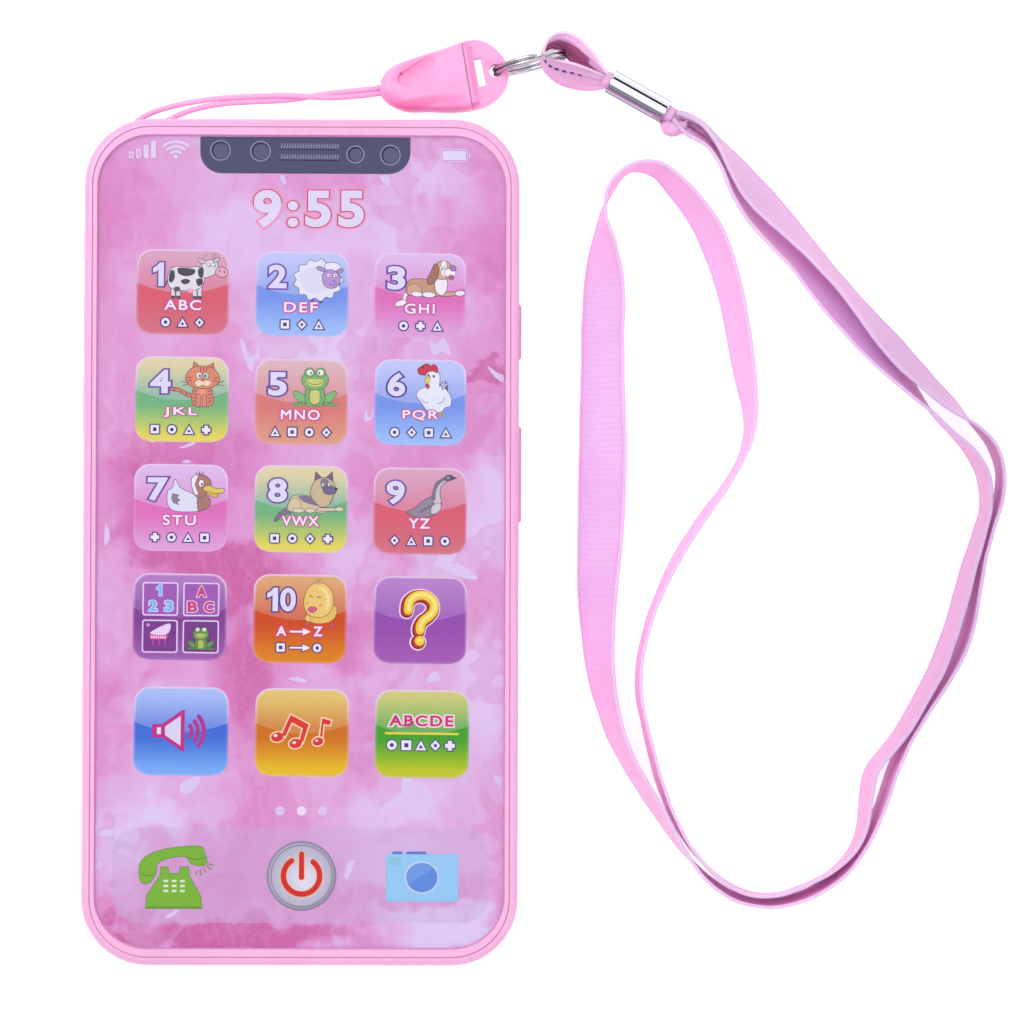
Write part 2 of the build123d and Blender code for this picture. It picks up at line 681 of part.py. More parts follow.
with BuildPart() as clip_socket:
    with BuildSketch(plan(STRAP_Z - CLIP_T / 2)):
        with BuildLine():
            Spline(*CLIP_OUTLINE, periodic=True)
        make_face()
    extrude(amount=CLIP_T)
    # soft rounded faces top and bottom
    fillet(clip_socket.faces().group_by(Axis.Z)[-1].edges()
           + clip_socket.faces().group_by(Axis.Z)[0].edges(), SOCKET_R)
    # the flat mouth
    with BuildSketch(clip_plane(STRAP_Z - CLIP_T)):
        with Locations((PART_X + CUT_LENGTH / 2 - PART_OVERLAP, 0)):
            Rectangle(CUT_LENGTH, CUT_W)
    extrude(amount=2 * CLIP_T, mode=Mode.SUBTRACT)
    # thumb dimple on the upper face
    with BuildSketch(clip_plane(STRAP_Z + CLIP_T / 2 - 0.5)):
        with Locations((6.6, 1.9)):
            SlotOverall(7.4, 2.4, rotation=24)
    extrude(amount=1.0, mode=Mode.SUBTRACT)
    # socket for the plug's tongue
    with BuildSketch(clip_plane(STRAP_Z - 1.55)):
        with Locations(((SOCKET_X0 + PART_X) / 2, 0)):
            Rectangle(PART_X - SOCKET_X0 + 0.4, 6.7)
    extrude(amount=3.1, mode=Mode.SUBTRACT)
    # channel for the two strands of cord
    with BuildSketch(clip_plane(STRAP_Z - 0.72)):
        with Locations((1.2, 0)):
            Rectangle(4.8, 2.95)
    extrude(amount=1.44, mode=Mode.SUBTRACT)
finish(clip_socket, "clip_socket")

with BuildPart() as clip_plug:
    with BuildSketch(plan(STRAP_Z - EYE_PLATE_T / 2)):
        with BuildLine():
            Spline(*CLIP_OUTLINE, periodic=True)
        make_face()
    extrude(amount=EYE_PLATE_T)
    with BuildSketch(clip_plane(STRAP_Z - CLIP_T)):
        with Locations((PART_X - CUT_LENGTH / 2 + PART_OVERLAP, 0)):
            Rectangle(CUT_LENGTH, CUT_W)
    extrude(amount=2 * CLIP_T, mode=Mode.SUBTRACT)
    # shoulder that continues the socket's faces and slopes down to the eye plate
    with BuildSketch(Plane(origin=(*CLIP_ORIGIN, STRAP_Z), x_dir=CLIP_AXIS,
                           z_dir=direction(CLIP_ANGLE - 90))):
        with BuildLine():
            Polyline((SHOULDER_X[0], -SHOULDER_H), (SHOULDER_X[1], -SHOULDER_H),
                     (SHOULDER_X[2], -SHOULDER_LOW), (SHOULDER_X[2], SHOULDER_LOW),
                     (SHOULDER_X[1], SHOULDER_H), (SHOULDER_X[0], SHOULDER_H), close=True)
        make_face()
    extrude(amount=5.0, both=True)
    # slot and ring eye
    with BuildSketch(clip_plane(STRAP_Z - CLIP_T)):
        with Locations((17.5, 0.2)):
            Rectangle(1.3, 5.0, rotation=2)
        with Locations((RING_HOLE_X, 0)):
            Circle(RING_HOLE_R)
    extrude(amount=2 * CLIP_T, mode=Mode.SUBTRACT)
    # tongue with a relief slot that lets its two arms spring together
    with BuildSketch(clip_plane(STRAP_Z - 1.45)):
        with Locations(((TONGUE_X0 + TONGUE_X1) / 2, 0)):
            Rectangle(TONGUE_X1 - TONGUE_X0, 6.5)
        with Locations((8.4, 0)):
            Rectangle(5.9, 2.2, mode=Mode.SUBTRACT)
    extrude(amount=2.9)
finish(clip_plug, "clip_plug")

# ================================================================ split ring
RING_CENTRE = (39.15, 83.34)
RING_ANGLE = 14.5                     # the upright ring's plane, from +X
RING_MEAN_R, RING_RADIAL, RING_AXIAL = 6.15, 0.9, 1.5
RING_OUTER_R = RING_MEAN_R + RING_RADIAL / 2
RING_PLANE = Plane(origin=(*RING_CENTRE, STRAP_Z), x_dir=direction(RING_ANGLE),
                   z_dir=direction(RING_ANGLE - 90))

with BuildPart() as split_ring:
    with BuildSketch(RING_PLANE):
        Circle(RING_OUTER_R)
        Circle(RING_MEAN_R - RING_RADIAL / 2, mode=Mode.SUBTRACT)
    extrude(amount=RING_AXIAL / 2, both=True)
    fillet(split_ring.edges().filter_by(GeomType.CIRCLE), 0.25)
    # the joint between the two coils
    with BuildSketch(RING_PLANE):
        Circle(RING_OUTER_R + 0.2)
        Circle(RING_OUTER_R - 0.12, mode=Mode.SUBTRACT)
    extrude(amount=0.05, both=True, mode=Mode.SUBTRACT)
finish(split_ring, "split_ring")

# ================================================================ ferrule
FERRULE_A = (53.15, 80.25)            # centres of its two ends
FERRULE_B = (62.85, 74.85)
FERRULE_OUTER_R, FERRULE_INNER_R = 2.1, 1.7
FERRULE_LENGTH = math.dist(FERRULE_A, FERRULE_B)
FERRULE_DIR = ((FERRULE_B[0] - FERRULE_A[0]) / FERRULE_LENGTH,
               (FERRULE_B[1] - FERRULE_A[1]) / FERRULE_LENGTH, 0)


def ferrule_plane(distance):
    """Plane square to the ferrule, a distance along it from end A."""
    return Plane(origin=ahead((*FERRULE_A, STRAP_Z), FERRULE_DIR, distance),
                 x_dir=(0, 0, 1), z_dir=FERRULE_DIR)


with BuildPart() as ferrule:
    with BuildSketch(ferrule_plane(0)):
        Circle(FERRULE_OUTER_R)
        Circle(FERRULE_INNER_R, mode=Mode.SUBTRACT)
    extrude(amount=FERRULE_LENGTH)
    chamfer(ferrule.edges().filter_by(GeomType.CIRCLE), 0.12)
finish(ferrule, "ferrule")

# ================================================================ neck ribbon
RIBBON_W, RIBBON_T = 10.0, 0.7
GATHERED_W = {0: 3.0, 1: 7.5, 2: 9.4}  # width at the stations nearest each end
LIFT_STATIONS = 7                     # stations over which each end rises to the ferrule
BUNDLE_OUT = 0.9                      # how far the bundle stands out of ferrule end A
# stations round the neck loop: x, y, sideways lean of the upper edge over the full width
RIBBON = [
    (64.1, 73.75, -0.2),
    (66.4, 72.0, -2.8), (72.1, 67.2, -2.2), (75.8, 60.6, -3.5), (80.5, 54.8, -4.2),
    (86.0, 49.6, -4.9), (91.1, 44.0, -6.0), (96.1, 38.3, -6.1), (101.0, 32.6, -5.0),
    (105.8, 26.9, -2.8), (110.8, 21.3, -0.2), (116.2, 15.8, 1.0), (118.7, 8.9, 0.8),
    (117.4, 1.5, 0.9), (115.3, -5.8, 1.4), (113.2, -13.1, 1.5), (110.7, -20.2, 1.7),
    (107.3, -26.9, 1.6), (103.5, -33.4, 1.4), (98.8, -39.3, 1.1), (97.7, -46.8, 1.0),
    (95.1, -53.6, -0.0), (89.3, -58.2, -0.6), (82.0, -60.9, -0.2), (75.0, -59.6, 0.3),
    (69.1, -54.7, 0.1), (64.9, -48.4, -0.4), (62.1, -41.5, -0.6), (60.1, -34.2, -0.6),
    (58.5, -26.8, -0.4), (58.7, -19.3, -0.3), (60.7, -11.9, -0.4), (63.6, -5.0, -0.7),
    (67.4, 1.5, -0.8), (71.8, 7.8, -0.7), (75.8, 14.2, -0.5), (77.7, 21.2, -1.2),
    (76.8, 29.0, -2.8), (75.6, 36.4, -3.3), (74.2, 43.7, -3.4), (72.0, 51.0, -3.9),
    (68.5, 57.6, -3.4), (63.5, 63.4, -2.4), (56.8, 65.4, -0.4), (52.4, 59.4, -0.5),
    (52.1, 52.0, 3.9), (52.2, 44.4, 6.8), (52.0, 36.8, 7.1), (52.0, 29.3, 7.3),
    (52.0, 21.7, 7.7), (52.1, 14.2, 8.0), (51.9, 6.6, 7.9), (51.5, -0.9, 7.4),
    (51.2, -8.5, 6.5), (51.2, -16.0, 5.3), (51.9, -23.5, 4.1), (53.6, -30.9, 2.9),
    (56.6, -37.8, 2.1), (60.5, -44.4, 1.7), (64.5, -50.7, 0.8), (69.0, -56.7, -0.4),
    (75.2, -61.2, -0.9), (82.6, -62.2, -0.9), (89.6, -59.8, -0.9), (95.3, -55.0, -0.9),
    (99.2, -48.3, -0.9), (101.7, -41.3, -0.9), (104.6, -34.4, -0.9), (108.6, -27.9, -0.9),
    (112.7, -21.5, -0.9), (115.5, -14.6, -0.9), (116.9, -7.2, -1.0), (118.4, 0.3, -0.9),
    (120.6, 7.7, -0.8), (120.5, 14.9, -1.0), (116.1, 21.0, 1.3), (110.7, 26.2, 3.3),
    (105.3, 31.5, 4.4), (100.2, 37.1, 4.2), (95.4, 42.9, 3.2), (90.4, 48.6, 3.2),
    (85.3, 54.1, 4.2), (80.0, 59.5, 5.4), (75.3, 65.4, 4.2), (68.8, 73.0, 1.7),
    (64.5, 74.5, 0.2),
]
# centreline of the small end loop that holds the split ring: x, y
END_LOOP = [
    (52.95, 81.2), (52.2, 82.1), (50.2, 84.1), (48.3, 86.1), (46.6, 87.4), (44.5, 88.2),
    (42.5, 87.1), (41.55, 84.9), (42.45, 81.7), (44.6, 80.3), (46.8, 79.5), (49.4, 79.2),
    (52.2, 79.75),
]
END_LOOP_H = 7.6


def ribbon_section(i):
    """Plane square to the ribbon at station i, and the ribbon's width there."""
    last = len(RIBBON) - 1
    x, y, sideways = RIBBON[i]
    before, after = RIBBON[max(i - 1, 0)], RIBBON[min(i + 1, last)]
    span = math.dist(before[:2], after[:2])
    along_x, along_y = (after[0] - before[0]) / span, (after[1] - before[1]) / span
    from_end = min(i, last - i)
    width = GATHERED_W.get(from_end, RIBBON_W)
    lean = sideways / RIBBON_W
    rise = math.sqrt(1 - lean * lean)
    # the lower edge lies on the table; the ends lift smoothly to the ferrule's height
    ramp = min(1, from_end / LIFT_STATIONS)
    lift = 1 - ramp ** 2 * (3 - 2 * ramp)
    table_z = 0.05 + rise * width / 2 + abs(lean) * RIBBON_T / 2
    z = lift * STRAP_Z + (1 - lift) * table_z
    across = (-along_y * lean, along_x * lean, rise)
    return Plane(origin=(x, y, z), x_dir=across, z_dir=(along_x, along_y, 0)), width


sections = [ribbon_section(i) for i in range(len(RIBBON))]
half = len(sections) // 2

with BuildPart() as neck_ribbon:
    # two lofts that share the middle section
    for group in (sections[:half + 1], sections[half:]):
        for section_plane, width in group:
            with BuildSketch(section_plane):
                Rectangle(width, RIBBON_T)
        loft(ruled=True)
    # bundle inside the ferrule
    with BuildSketch(ferrule_plane(-BUNDLE_OUT)):
        Circle(FERRULE_INNER_R - 0.06)
    extrude(amount=FERRULE_LENGTH + BUNDLE_OUT + 2.0)
    # small end loop round the split ring
    with BuildSketch(plan(STRAP_Z - END_LOOP_H / 2)):
        with BuildLine():
            Spline(*END_LOOP)
        trace(line_width=RIBBON_T)
    extrude(amount=END_LOOP_H)
finish(neck_ribbon, "neck_ribbon")
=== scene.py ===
"""Looks of the toy cell phone and its lanyard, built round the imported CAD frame."""
import math

import bpy
import bmesh
import numpy as np
from mathutils import Vector, Matrix


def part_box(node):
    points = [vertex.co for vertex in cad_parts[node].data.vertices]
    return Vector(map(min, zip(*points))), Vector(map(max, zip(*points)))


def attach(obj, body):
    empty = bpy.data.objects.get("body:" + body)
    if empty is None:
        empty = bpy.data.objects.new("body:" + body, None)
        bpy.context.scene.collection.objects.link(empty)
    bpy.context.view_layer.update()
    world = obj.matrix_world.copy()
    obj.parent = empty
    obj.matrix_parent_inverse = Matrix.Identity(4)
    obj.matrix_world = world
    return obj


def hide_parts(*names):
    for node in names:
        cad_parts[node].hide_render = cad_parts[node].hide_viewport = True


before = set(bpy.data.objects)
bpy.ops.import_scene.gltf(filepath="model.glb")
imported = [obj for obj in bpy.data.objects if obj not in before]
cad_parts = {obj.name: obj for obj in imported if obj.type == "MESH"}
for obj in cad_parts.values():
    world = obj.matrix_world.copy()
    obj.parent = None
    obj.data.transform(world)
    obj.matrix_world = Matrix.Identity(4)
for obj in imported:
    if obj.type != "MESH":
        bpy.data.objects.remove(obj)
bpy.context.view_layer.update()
MM = 0.001
scene = bpy.context.scene
GAIN = 0.90                                # printed colours are seen through the film
SZ = 6.8                                   # height of the lanyard plane, mm


# ------------------------------------------------------------------ colours
def lin(c):
    """sRGB bytes to linear light."""
    out = []
    for v in c[:3]:
        v = v / 255.0
        out.append(v / 12.92 if v <= 0.04045 else ((v + 0.055) / 1.055) ** 2.4)
    return tuple(out)


def rgba(c):
    return (*lin(c), 1.0)


# ------------------------------------------------------------------ node helpers
def new_mat(name):
    m = bpy.data.materials.new(name)
    m.use_nodes = True
    nt = m.node_tree
    nt.nodes.clear()
    out = nt.nodes.new("ShaderNodeOutputMaterial")
    b = nt.nodes.new("ShaderNodeBsdfPrincipled")
    nt.links.new(b.outputs[0], out.inputs[0])
    return m, nt, b, out


def node(nt, kind, inputs=None, **props):
    n = nt.nodes.new(kind)
    for k, v in props.items():
        setattr(n, k, v)
    for k, v in (inputs or {}).items():
        s = n.inputs[k]
        if isinstance(v, bpy.types.NodeSocket):
            nt.links.new(v, s)
        else:
            s.default_value = v
    return n


def coords(nt):
    """Position in millimetres in the row frame."""
    tc = node(nt, "ShaderNodeTexCoord")
    return node(nt, "ShaderNodeVectorMath", {0: tc.outputs["Object"], 1: (1000, 1000, 1000)}, operation="MULTIPLY").outputs[0]


def math_node(nt, op, a, b=None, c=None, clamp=False):
    ins = {0: a}
    if b is not None:
        ins[1] = b
    if c is not None:
        ins[2] = c
    n = node(nt, "ShaderNodeMath", ins, operation=op)
    n.use_clamp = clamp
    return n.outputs[0]


def noise(nt, vec, scale, detail=2.0, rough=0.5, distortion=0.0):
    return node(nt, "ShaderNodeTexNoise", {"Vector": vec, "Scale": scale, "Detail": detail, "Roughness": rough, "Distortion": distortion})


def mix(nt, fac, a, b, blend="MIX"):
    n = node(nt, "ShaderNodeMix", data_type="RGBA", blend_type=blend)
    for idx, v in ((0, fac), (6, a), (7, b)):
        s = n.inputs[idx]
        if isinstance(v, bpy.types.NodeSocket):
            nt.links.new(v, s)
        else:
            s.default_value = v
    return n.outputs[2]


def mix_vec(nt, fac, a, b):
    return mix(nt, fac, a, b)


def map_range(nt, v, a, b, c, d, smooth=False):
    n = node(nt, "ShaderNodeMapRange", {0: v, 1: a, 2: b, 3: c, 4: d})
    n.clamp = True
    if smooth:
        n.interpolation_type = "SMOOTHSTEP"
    return n.outputs[0]


def bump(nt, height, strength, distance, normal=None):
    ins = {"Height": height, "Strength": strength, "Distance": distance}
    if normal is not None:
        ins["Normal"] = normal
    return node(nt, "ShaderNodeBump", ins).outputs[0]


def ramp(nt, fac, stops, interp="LINEAR"):
    n = node(nt, "ShaderNodeValToRGB", {0: fac})
    cr = n.color_ramp
    cr.interpolation = interp
    while len(cr.elements) > 1:
        cr.elements.remove(cr.elements[-1])
    cr.elements[0].position = stops[0][0]
    cr.elements[0].color = rgba(stops[0][1])
    for p, c in stops[1:]:
        e = cr.elements.new(p)
        e.color = rgba(c)
    return n.outputs[0]


# ------------------------------------------------------------------ materials
def plastic(name, c, rough=0.3, vary=0.05, mottle=0.05, grain=3.0, grain_depth=0.0006, spec=0.5, sss=0.0, c2=None, flow=(1, 1, 1)):
    """Moulded plastic: slow colour drift, fine moulding grain, uneven polish."""
    m, nt, b, out = new_mat(name)
    p = coords(nt)
    q = node(nt, "ShaderNodeVectorMath", {0: p, 1: flow}, operation="MULTIPLY").outputs[0]
    slow = noise(nt, q, mottle, 3.0, 0.55).outputs[0]
    lc = lin(c)
    lo = tuple(v * (1 - vary) for v in lc) + (1,)
    hi = tuple(min(1, v * (1 + vary)) for v in lc) + (1,)
    if c2 is not None:
        hi = rgba(c2)
    col = mix(nt, map_range(nt, slow, 0.32, 0.68, 0, 1), lo, hi)
    b.inputs["Base Color"].default_value = (*lc, 1)
    nt.links.new(col, b.inputs["Base Color"])
    r = noise(nt, p, 0.35, 3.0, 0.6).outputs[0]
    nt.links.new(map_range(nt, r, 0.3, 0.7, rough - 0.05, rough + 0.07), b.inputs["Roughness"])
    g = noise(nt, p, grain, 2.0, 0.5).outputs[0]
    nt.links.new(bump(nt, g, 0.35, grain_depth * MM), b.inputs["Normal"])
    b.inputs["Specular IOR Level"].default_value = spec
    if sss:
        b.inputs["Subsurface Weight"].default_value = sss
        b.inputs["Subsurface Radius"].default_value = (0.0012, 0.0006, 0.0008)
        b.inputs["Subsurface Scale"].default_value = 1.0
    return m


def metal(name, c, rough=0.18, brushed=None, vary=0.06, depth=0.0015, edge=None):
    m, nt, b, out = new_mat(name)
    p = coords(nt)
    stretch = brushed or (1, 1, 1)
    q = node(nt, "ShaderNodeVectorMath", {0: p, 1: stretch}, operation="MULTIPLY").outputs[0]
    n1 = noise(nt, q, 1.3, 4.0, 0.6).outputs[0]
    lc = lin(c)
    col = mix(nt, map_range(nt, n1, 0.3, 0.7, 0, 1), tuple(v * (1 - vary) for v in lc) + (1,), tuple(min(1, v * (1 + vary)) for v in lc) + (1,))
    nt.links.new(col, b.inputs["Base Color"])
    b.inputs["Metallic"].default_value = 1.0
    n2 = noise(nt, q, 4.0, 3.0, 0.6).outputs[0]
    nt.links.new(map_range(nt, n2, 0.3, 0.7, rough * 0.7, rough * 1.4), b.inputs["Roughness"])
    if depth:
        nt.links.new(bump(nt, n2, 0.25, depth * MM), b.inputs["Normal"])
    if edge:
        b.inputs["Specular Tint"].default_value = edge      # darker towards the outline
    return m


def wallpaper():
    """Soft pink and lavender watercolour print with ragged flame-like edges."""
    m, nt, b, out = new_mat("wallpaper_print")
    p = coords(nt)
    w1 = noise(nt, p, 0.16, 3.0, 0.55).outputs["Color"]
    off = node(nt, "ShaderNodeVectorMath", {0: w1, 1: (0.5, 0.5, 0.5)}, operation="SUBTRACT").outputs[0]
    off = node(nt, "ShaderNodeVectorMath", {0: off, 1: (9, 16, 0)}, operation="MULTIPLY").outputs[0]
    warped = node(nt, "ShaderNodeVectorMath", {0: p, 1: off}, operation="ADD").outputs[0]
    slow = noise(nt, node(nt, "ShaderNodeVectorMath", {0: warped, 1: (1, 0.75, 1)}, operation="MULTIPLY").outputs[0], 0.045, 4.0, 0.5).outputs[0]
    total = map_range(nt, slow, 0.30, 0.70, 0.22, 0.78)
    # patches: centre, half widths, strength (plus is pale lavender, minus is magenta)
    blobs = [(-12, -5, 10, 6, -0.62), (-26, 12, 8, 8, -0.30), (-24, 1, 9, 6, -0.34), (33, 29.5, 6, 2.6, -0.62), (-14, -67.5, 30, 3.4, -0.60), (28, -66, 10, 4, 0.40),
             (-10, -24, 5, 12, -0.34), (8, -17, 7, 5, -0.28), (-12, 15, 8, 6, -0.22), (12, -61, 8, 3.5, -0.30), (26, -61, 9, 3.5, -0.26),
             (10, 14, 4, 9, -0.20), (-33, -32, 4, 12, -0.24), (-16, -56, 6, 3.5, -0.15), (30, 50, 8, 7, -0.12), (10, -36, 4, 8, -0.28),
             (31, 5, 8, 10, 0.46), (24, -5, 6, 4, 0.50), (9, -4, 5, 4, 0.18), (0, 33, 10, 4, 0.30), (10, 52, 12, 7, 0.24), (-12, 52, 10, 7, 0.16),
             (17, -46, 8, 4, 0.34), (-22, -47, 10, 4, 0.28), (-31, -55, 5, 6, 0.30), (31, -24, 5, 10, 0.20), (24, 62, 8, 5, 0.24),
             (-31, 60, 5, 10, -0.10), (20, -54, 14, 4, 0.12), (-32, 40, 5, 8, -0.06), (31, 40, 5, 5, 0.22), (20, -66, 12, 3, 0.22)]
    for cx, cy, rx, ry, amp in blobs:
        d = node(nt, "ShaderNodeVectorMath", {0: warped, 1: (cx, cy, 0)}, operation="SUBTRACT").outputs[0]
        d = node(nt, "ShaderNodeVectorMath", {0: d, 1: (1.0 / rx, 1.0 / ry, 0)}, operation="MULTIPLY").outputs[0]
        ln = node(nt, "ShaderNodeVectorMath", {0: d}, operation="LENGTH").outputs["Value"]
        f = map_range(nt, ln, 0.35, 1.35, amp, 0.0, smooth=True)
        total = math_node(nt, "ADD", total, f)
    col = ramp(nt, total, [(0.0, (206, 96, 166)), (0.14, (212, 112, 180)), (0.30, (220, 138, 199)), (0.48, (226, 156, 211)),
                           (0.64, (225, 176, 224)), (0.80, (228, 194, 238)), (1.0, (226, 210, 245))])
    # marbled flames: smooth edges drawn out to points, paler or deeper than the ground
    w2 = noise(nt, p, 0.22, 1.0, 0.35).outputs["Color"]
    off2 = node(nt, "ShaderNodeVectorMath", {0: w2, 1: (0.5, 0.5, 0.5)}, operation="SUBTRACT").outputs[0]
    off2 = node(nt, "ShaderNodeVectorMath", {0: off2, 1: (16, 30, 0)}, operation="MULTIPLY").outputs[0]
    ragged = node(nt, "ShaderNodeVectorMath", {0: p, 1: off2}, operation="ADD").outputs[0]
    f1 = noise(nt, node(nt, "ShaderNodeVectorMath", {0: ragged, 1: (1, 0.55, 1)}, operation="MULTIPLY").outputs[0], 0.055, 1.2, 0.3).outputs[0]
    pale = math_node(nt, "MULTIPLY", map_range(nt, f1, 0.552, 0.578, 0, 1), map_range(nt, f1, 0.56, 0.72, 0.27, 0.0))
    col = mix(nt, pale, col, rgba((228, 200, 240)))
    shifted = node(nt, "ShaderNodeVectorMath", {0: ragged, 1: (37.0, 21.0, 5.0)}, operation="ADD").outputs[0]
    f2 = noise(nt, node(nt, "ShaderNodeVectorMath", {0: shifted, 1: (1, 0.6, 1)}, operation="MULTIPLY").outputs[0], 0.065, 1.2, 0.3).outputs[0]
    deep = math_node(nt, "MULTIPLY", map_range(nt, f2, 0.566, 0.592, 0, 1), map_range(nt, f2, 0.575, 0.74, 0.36, 0.05))
    col = mix(nt, deep, col, rgba((214, 118, 184)))
    # long brush streaks
    st = node(nt, "ShaderNodeVectorMath", {0: warped, 1: (0.9, 0.22, 1)}, operation="MULTIPLY").outputs[0]
    f3 = noise(nt, st, 0.55, 3.0, 0.6).outputs[0]
    col = mix(nt, map_range(nt, f3, 0.45, 0.75, 0.0, 0.20), col, rgba((238, 196, 236)))
    col = mix(nt, map_range(nt, f3, 0.25, 0.45, 0.16, 0.0), col, rgba((212, 128, 192)))
    # paper-like mottling
    g = noise(nt, p, 1.6, 3.0, 0.6).outputs[0]
    col = mix(nt, map_range(nt, g, 0.3, 0.7, 0.0, 0.08), col, rgba((246, 222, 246)))
    # paler dock panel
    c = node(nt, "ShaderNodeVectorMath", {0: p, 1: (0.19, -57.08, 0)}, operation="SUBTRACT").outputs[0]
    c = node(nt, "ShaderNodeVectorMath", {0: c}, operation="ABSOLUTE").outputs[0]
    c = node(nt, "ShaderNodeVectorMath", {0: c, 1: (32.2 - 4.5, 8.17 - 4.5, 100)}, operation="SUBTRACT").outputs[0]
    c = node(nt, "ShaderNodeVectorMath", {0: c, 1: (0, 0, 0)}, operation="MAXIMUM").outputs[0]
    d = node(nt, "ShaderNodeVectorMath", {0: c}, operation="LENGTH").outputs["Value"]
    panel = map_range(nt, d, 4.38, 4.55, 1.0, 0.0)
    col = mix(nt, math_node(nt, "MULTIPLY", panel, 0.42), col, rgba((206, 178, 220)))
    col = node(nt, "ShaderNodeVectorMath", {0: col, 1: (GAIN, GAIN, GAIN)}, operation="MULTIPLY").outputs[0]
    col = node(nt, "ShaderNodeVectorMath", {0: col, 1: (1, 1, 1)}, operation="MINIMUM").outputs[0]
    nt.links.new(col, b.inputs["Base Color"])
    nt.links.new(map_range(nt, g, 0.3, 0.7, 0.42, 0.55), b.inputs["Roughness"])
    nt.links.new(bump(nt, g, 0.2, 0.002 * MM), b.inputs["Normal"])
    b.inputs["Specular IOR Level"].default_value = 0.08
    return m


def ink_material():
    """Printed ink: colour painted on the mesh, with the slight screen-print unevenness."""
    m, nt, b, out = new_mat("printed_ink")
    a = node(nt, "ShaderNodeAttribute", attribute_name="ink")
    p = coords(nt)
    n1 = noise(nt, p, 2.2, 3.0, 0.6).outputs[0]
    g = node(nt, "ShaderNodeCombineXYZ", {0: map_range(nt, n1, 0.3, 0.7, GAIN * 0.97, GAIN * 1.03), 1: map_range(nt, n1, 0.3, 0.7, GAIN * 0.96, GAIN * 1.04), 2: map_range(nt, n1, 0.3, 0.7, GAIN * 0.97, GAIN * 1.03)}).outputs[0]
    col = node(nt, "ShaderNodeVectorMath", {0: a.outputs["Color"], 1: g}, operation="MULTIPLY").outputs[0]
    col = node(nt, "ShaderNodeVectorMath", {0: col, 1: (1, 1, 1)}, operation="MINIMUM").outputs[0]
    nt.links.new(col, b.inputs["Base Color"])
    nt.links.new(map_range(nt, n1, 0.3, 0.7, 0.32, 0.44), b.inputs["Roughness"])
    b.inputs["Specular IOR Level"].default_value = 0.08
    return m


def film_material():
    """Clear glossy film: what lies under it shows, and the gloss sits on top."""
    m, nt, b, out = new_mat("clear_film_gloss")
    nt.nodes.remove(b)
    p = coords(nt)
    n1 = noise(nt, p, 0.07, 2.0, 0.5).outputs[0]
    wave = noise(nt, p, 0.5, 2.0, 0.5).outputs[0]
    nrm = bump(nt, math_node(nt, "ADD", n1, math_node(nt, "MULTIPLY", wave, 0.05)), 0.5, 0.22 * MM)
    gl = node(nt, "ShaderNodeBsdfPrincipled", {"Base Color": (1, 1, 1, 1), "Metallic": 1.0, "Roughness": 0.05, "Normal": nrm})
    tr = node(nt, "ShaderNodeBsdfTransparent", {"Color": (0.985, 0.975, 0.99, 1)})
    fr = node(nt, "ShaderNodeFresnel", {"IOR": 1.32, "Normal": nrm})
    front = math_node(nt, "SUBTRACT", 1.0, node(nt, "ShaderNodeNewGeometry").outputs["Backfacing"])
    mx = node(nt, "ShaderNodeMixShader", {0: math_node(nt, "MULTIPLY", fr.outputs[0], front), 1: tr.outputs[0], 2: gl.outputs[0]})
    nt.links.new(mx.outputs[0], out.inputs[0])
    return m


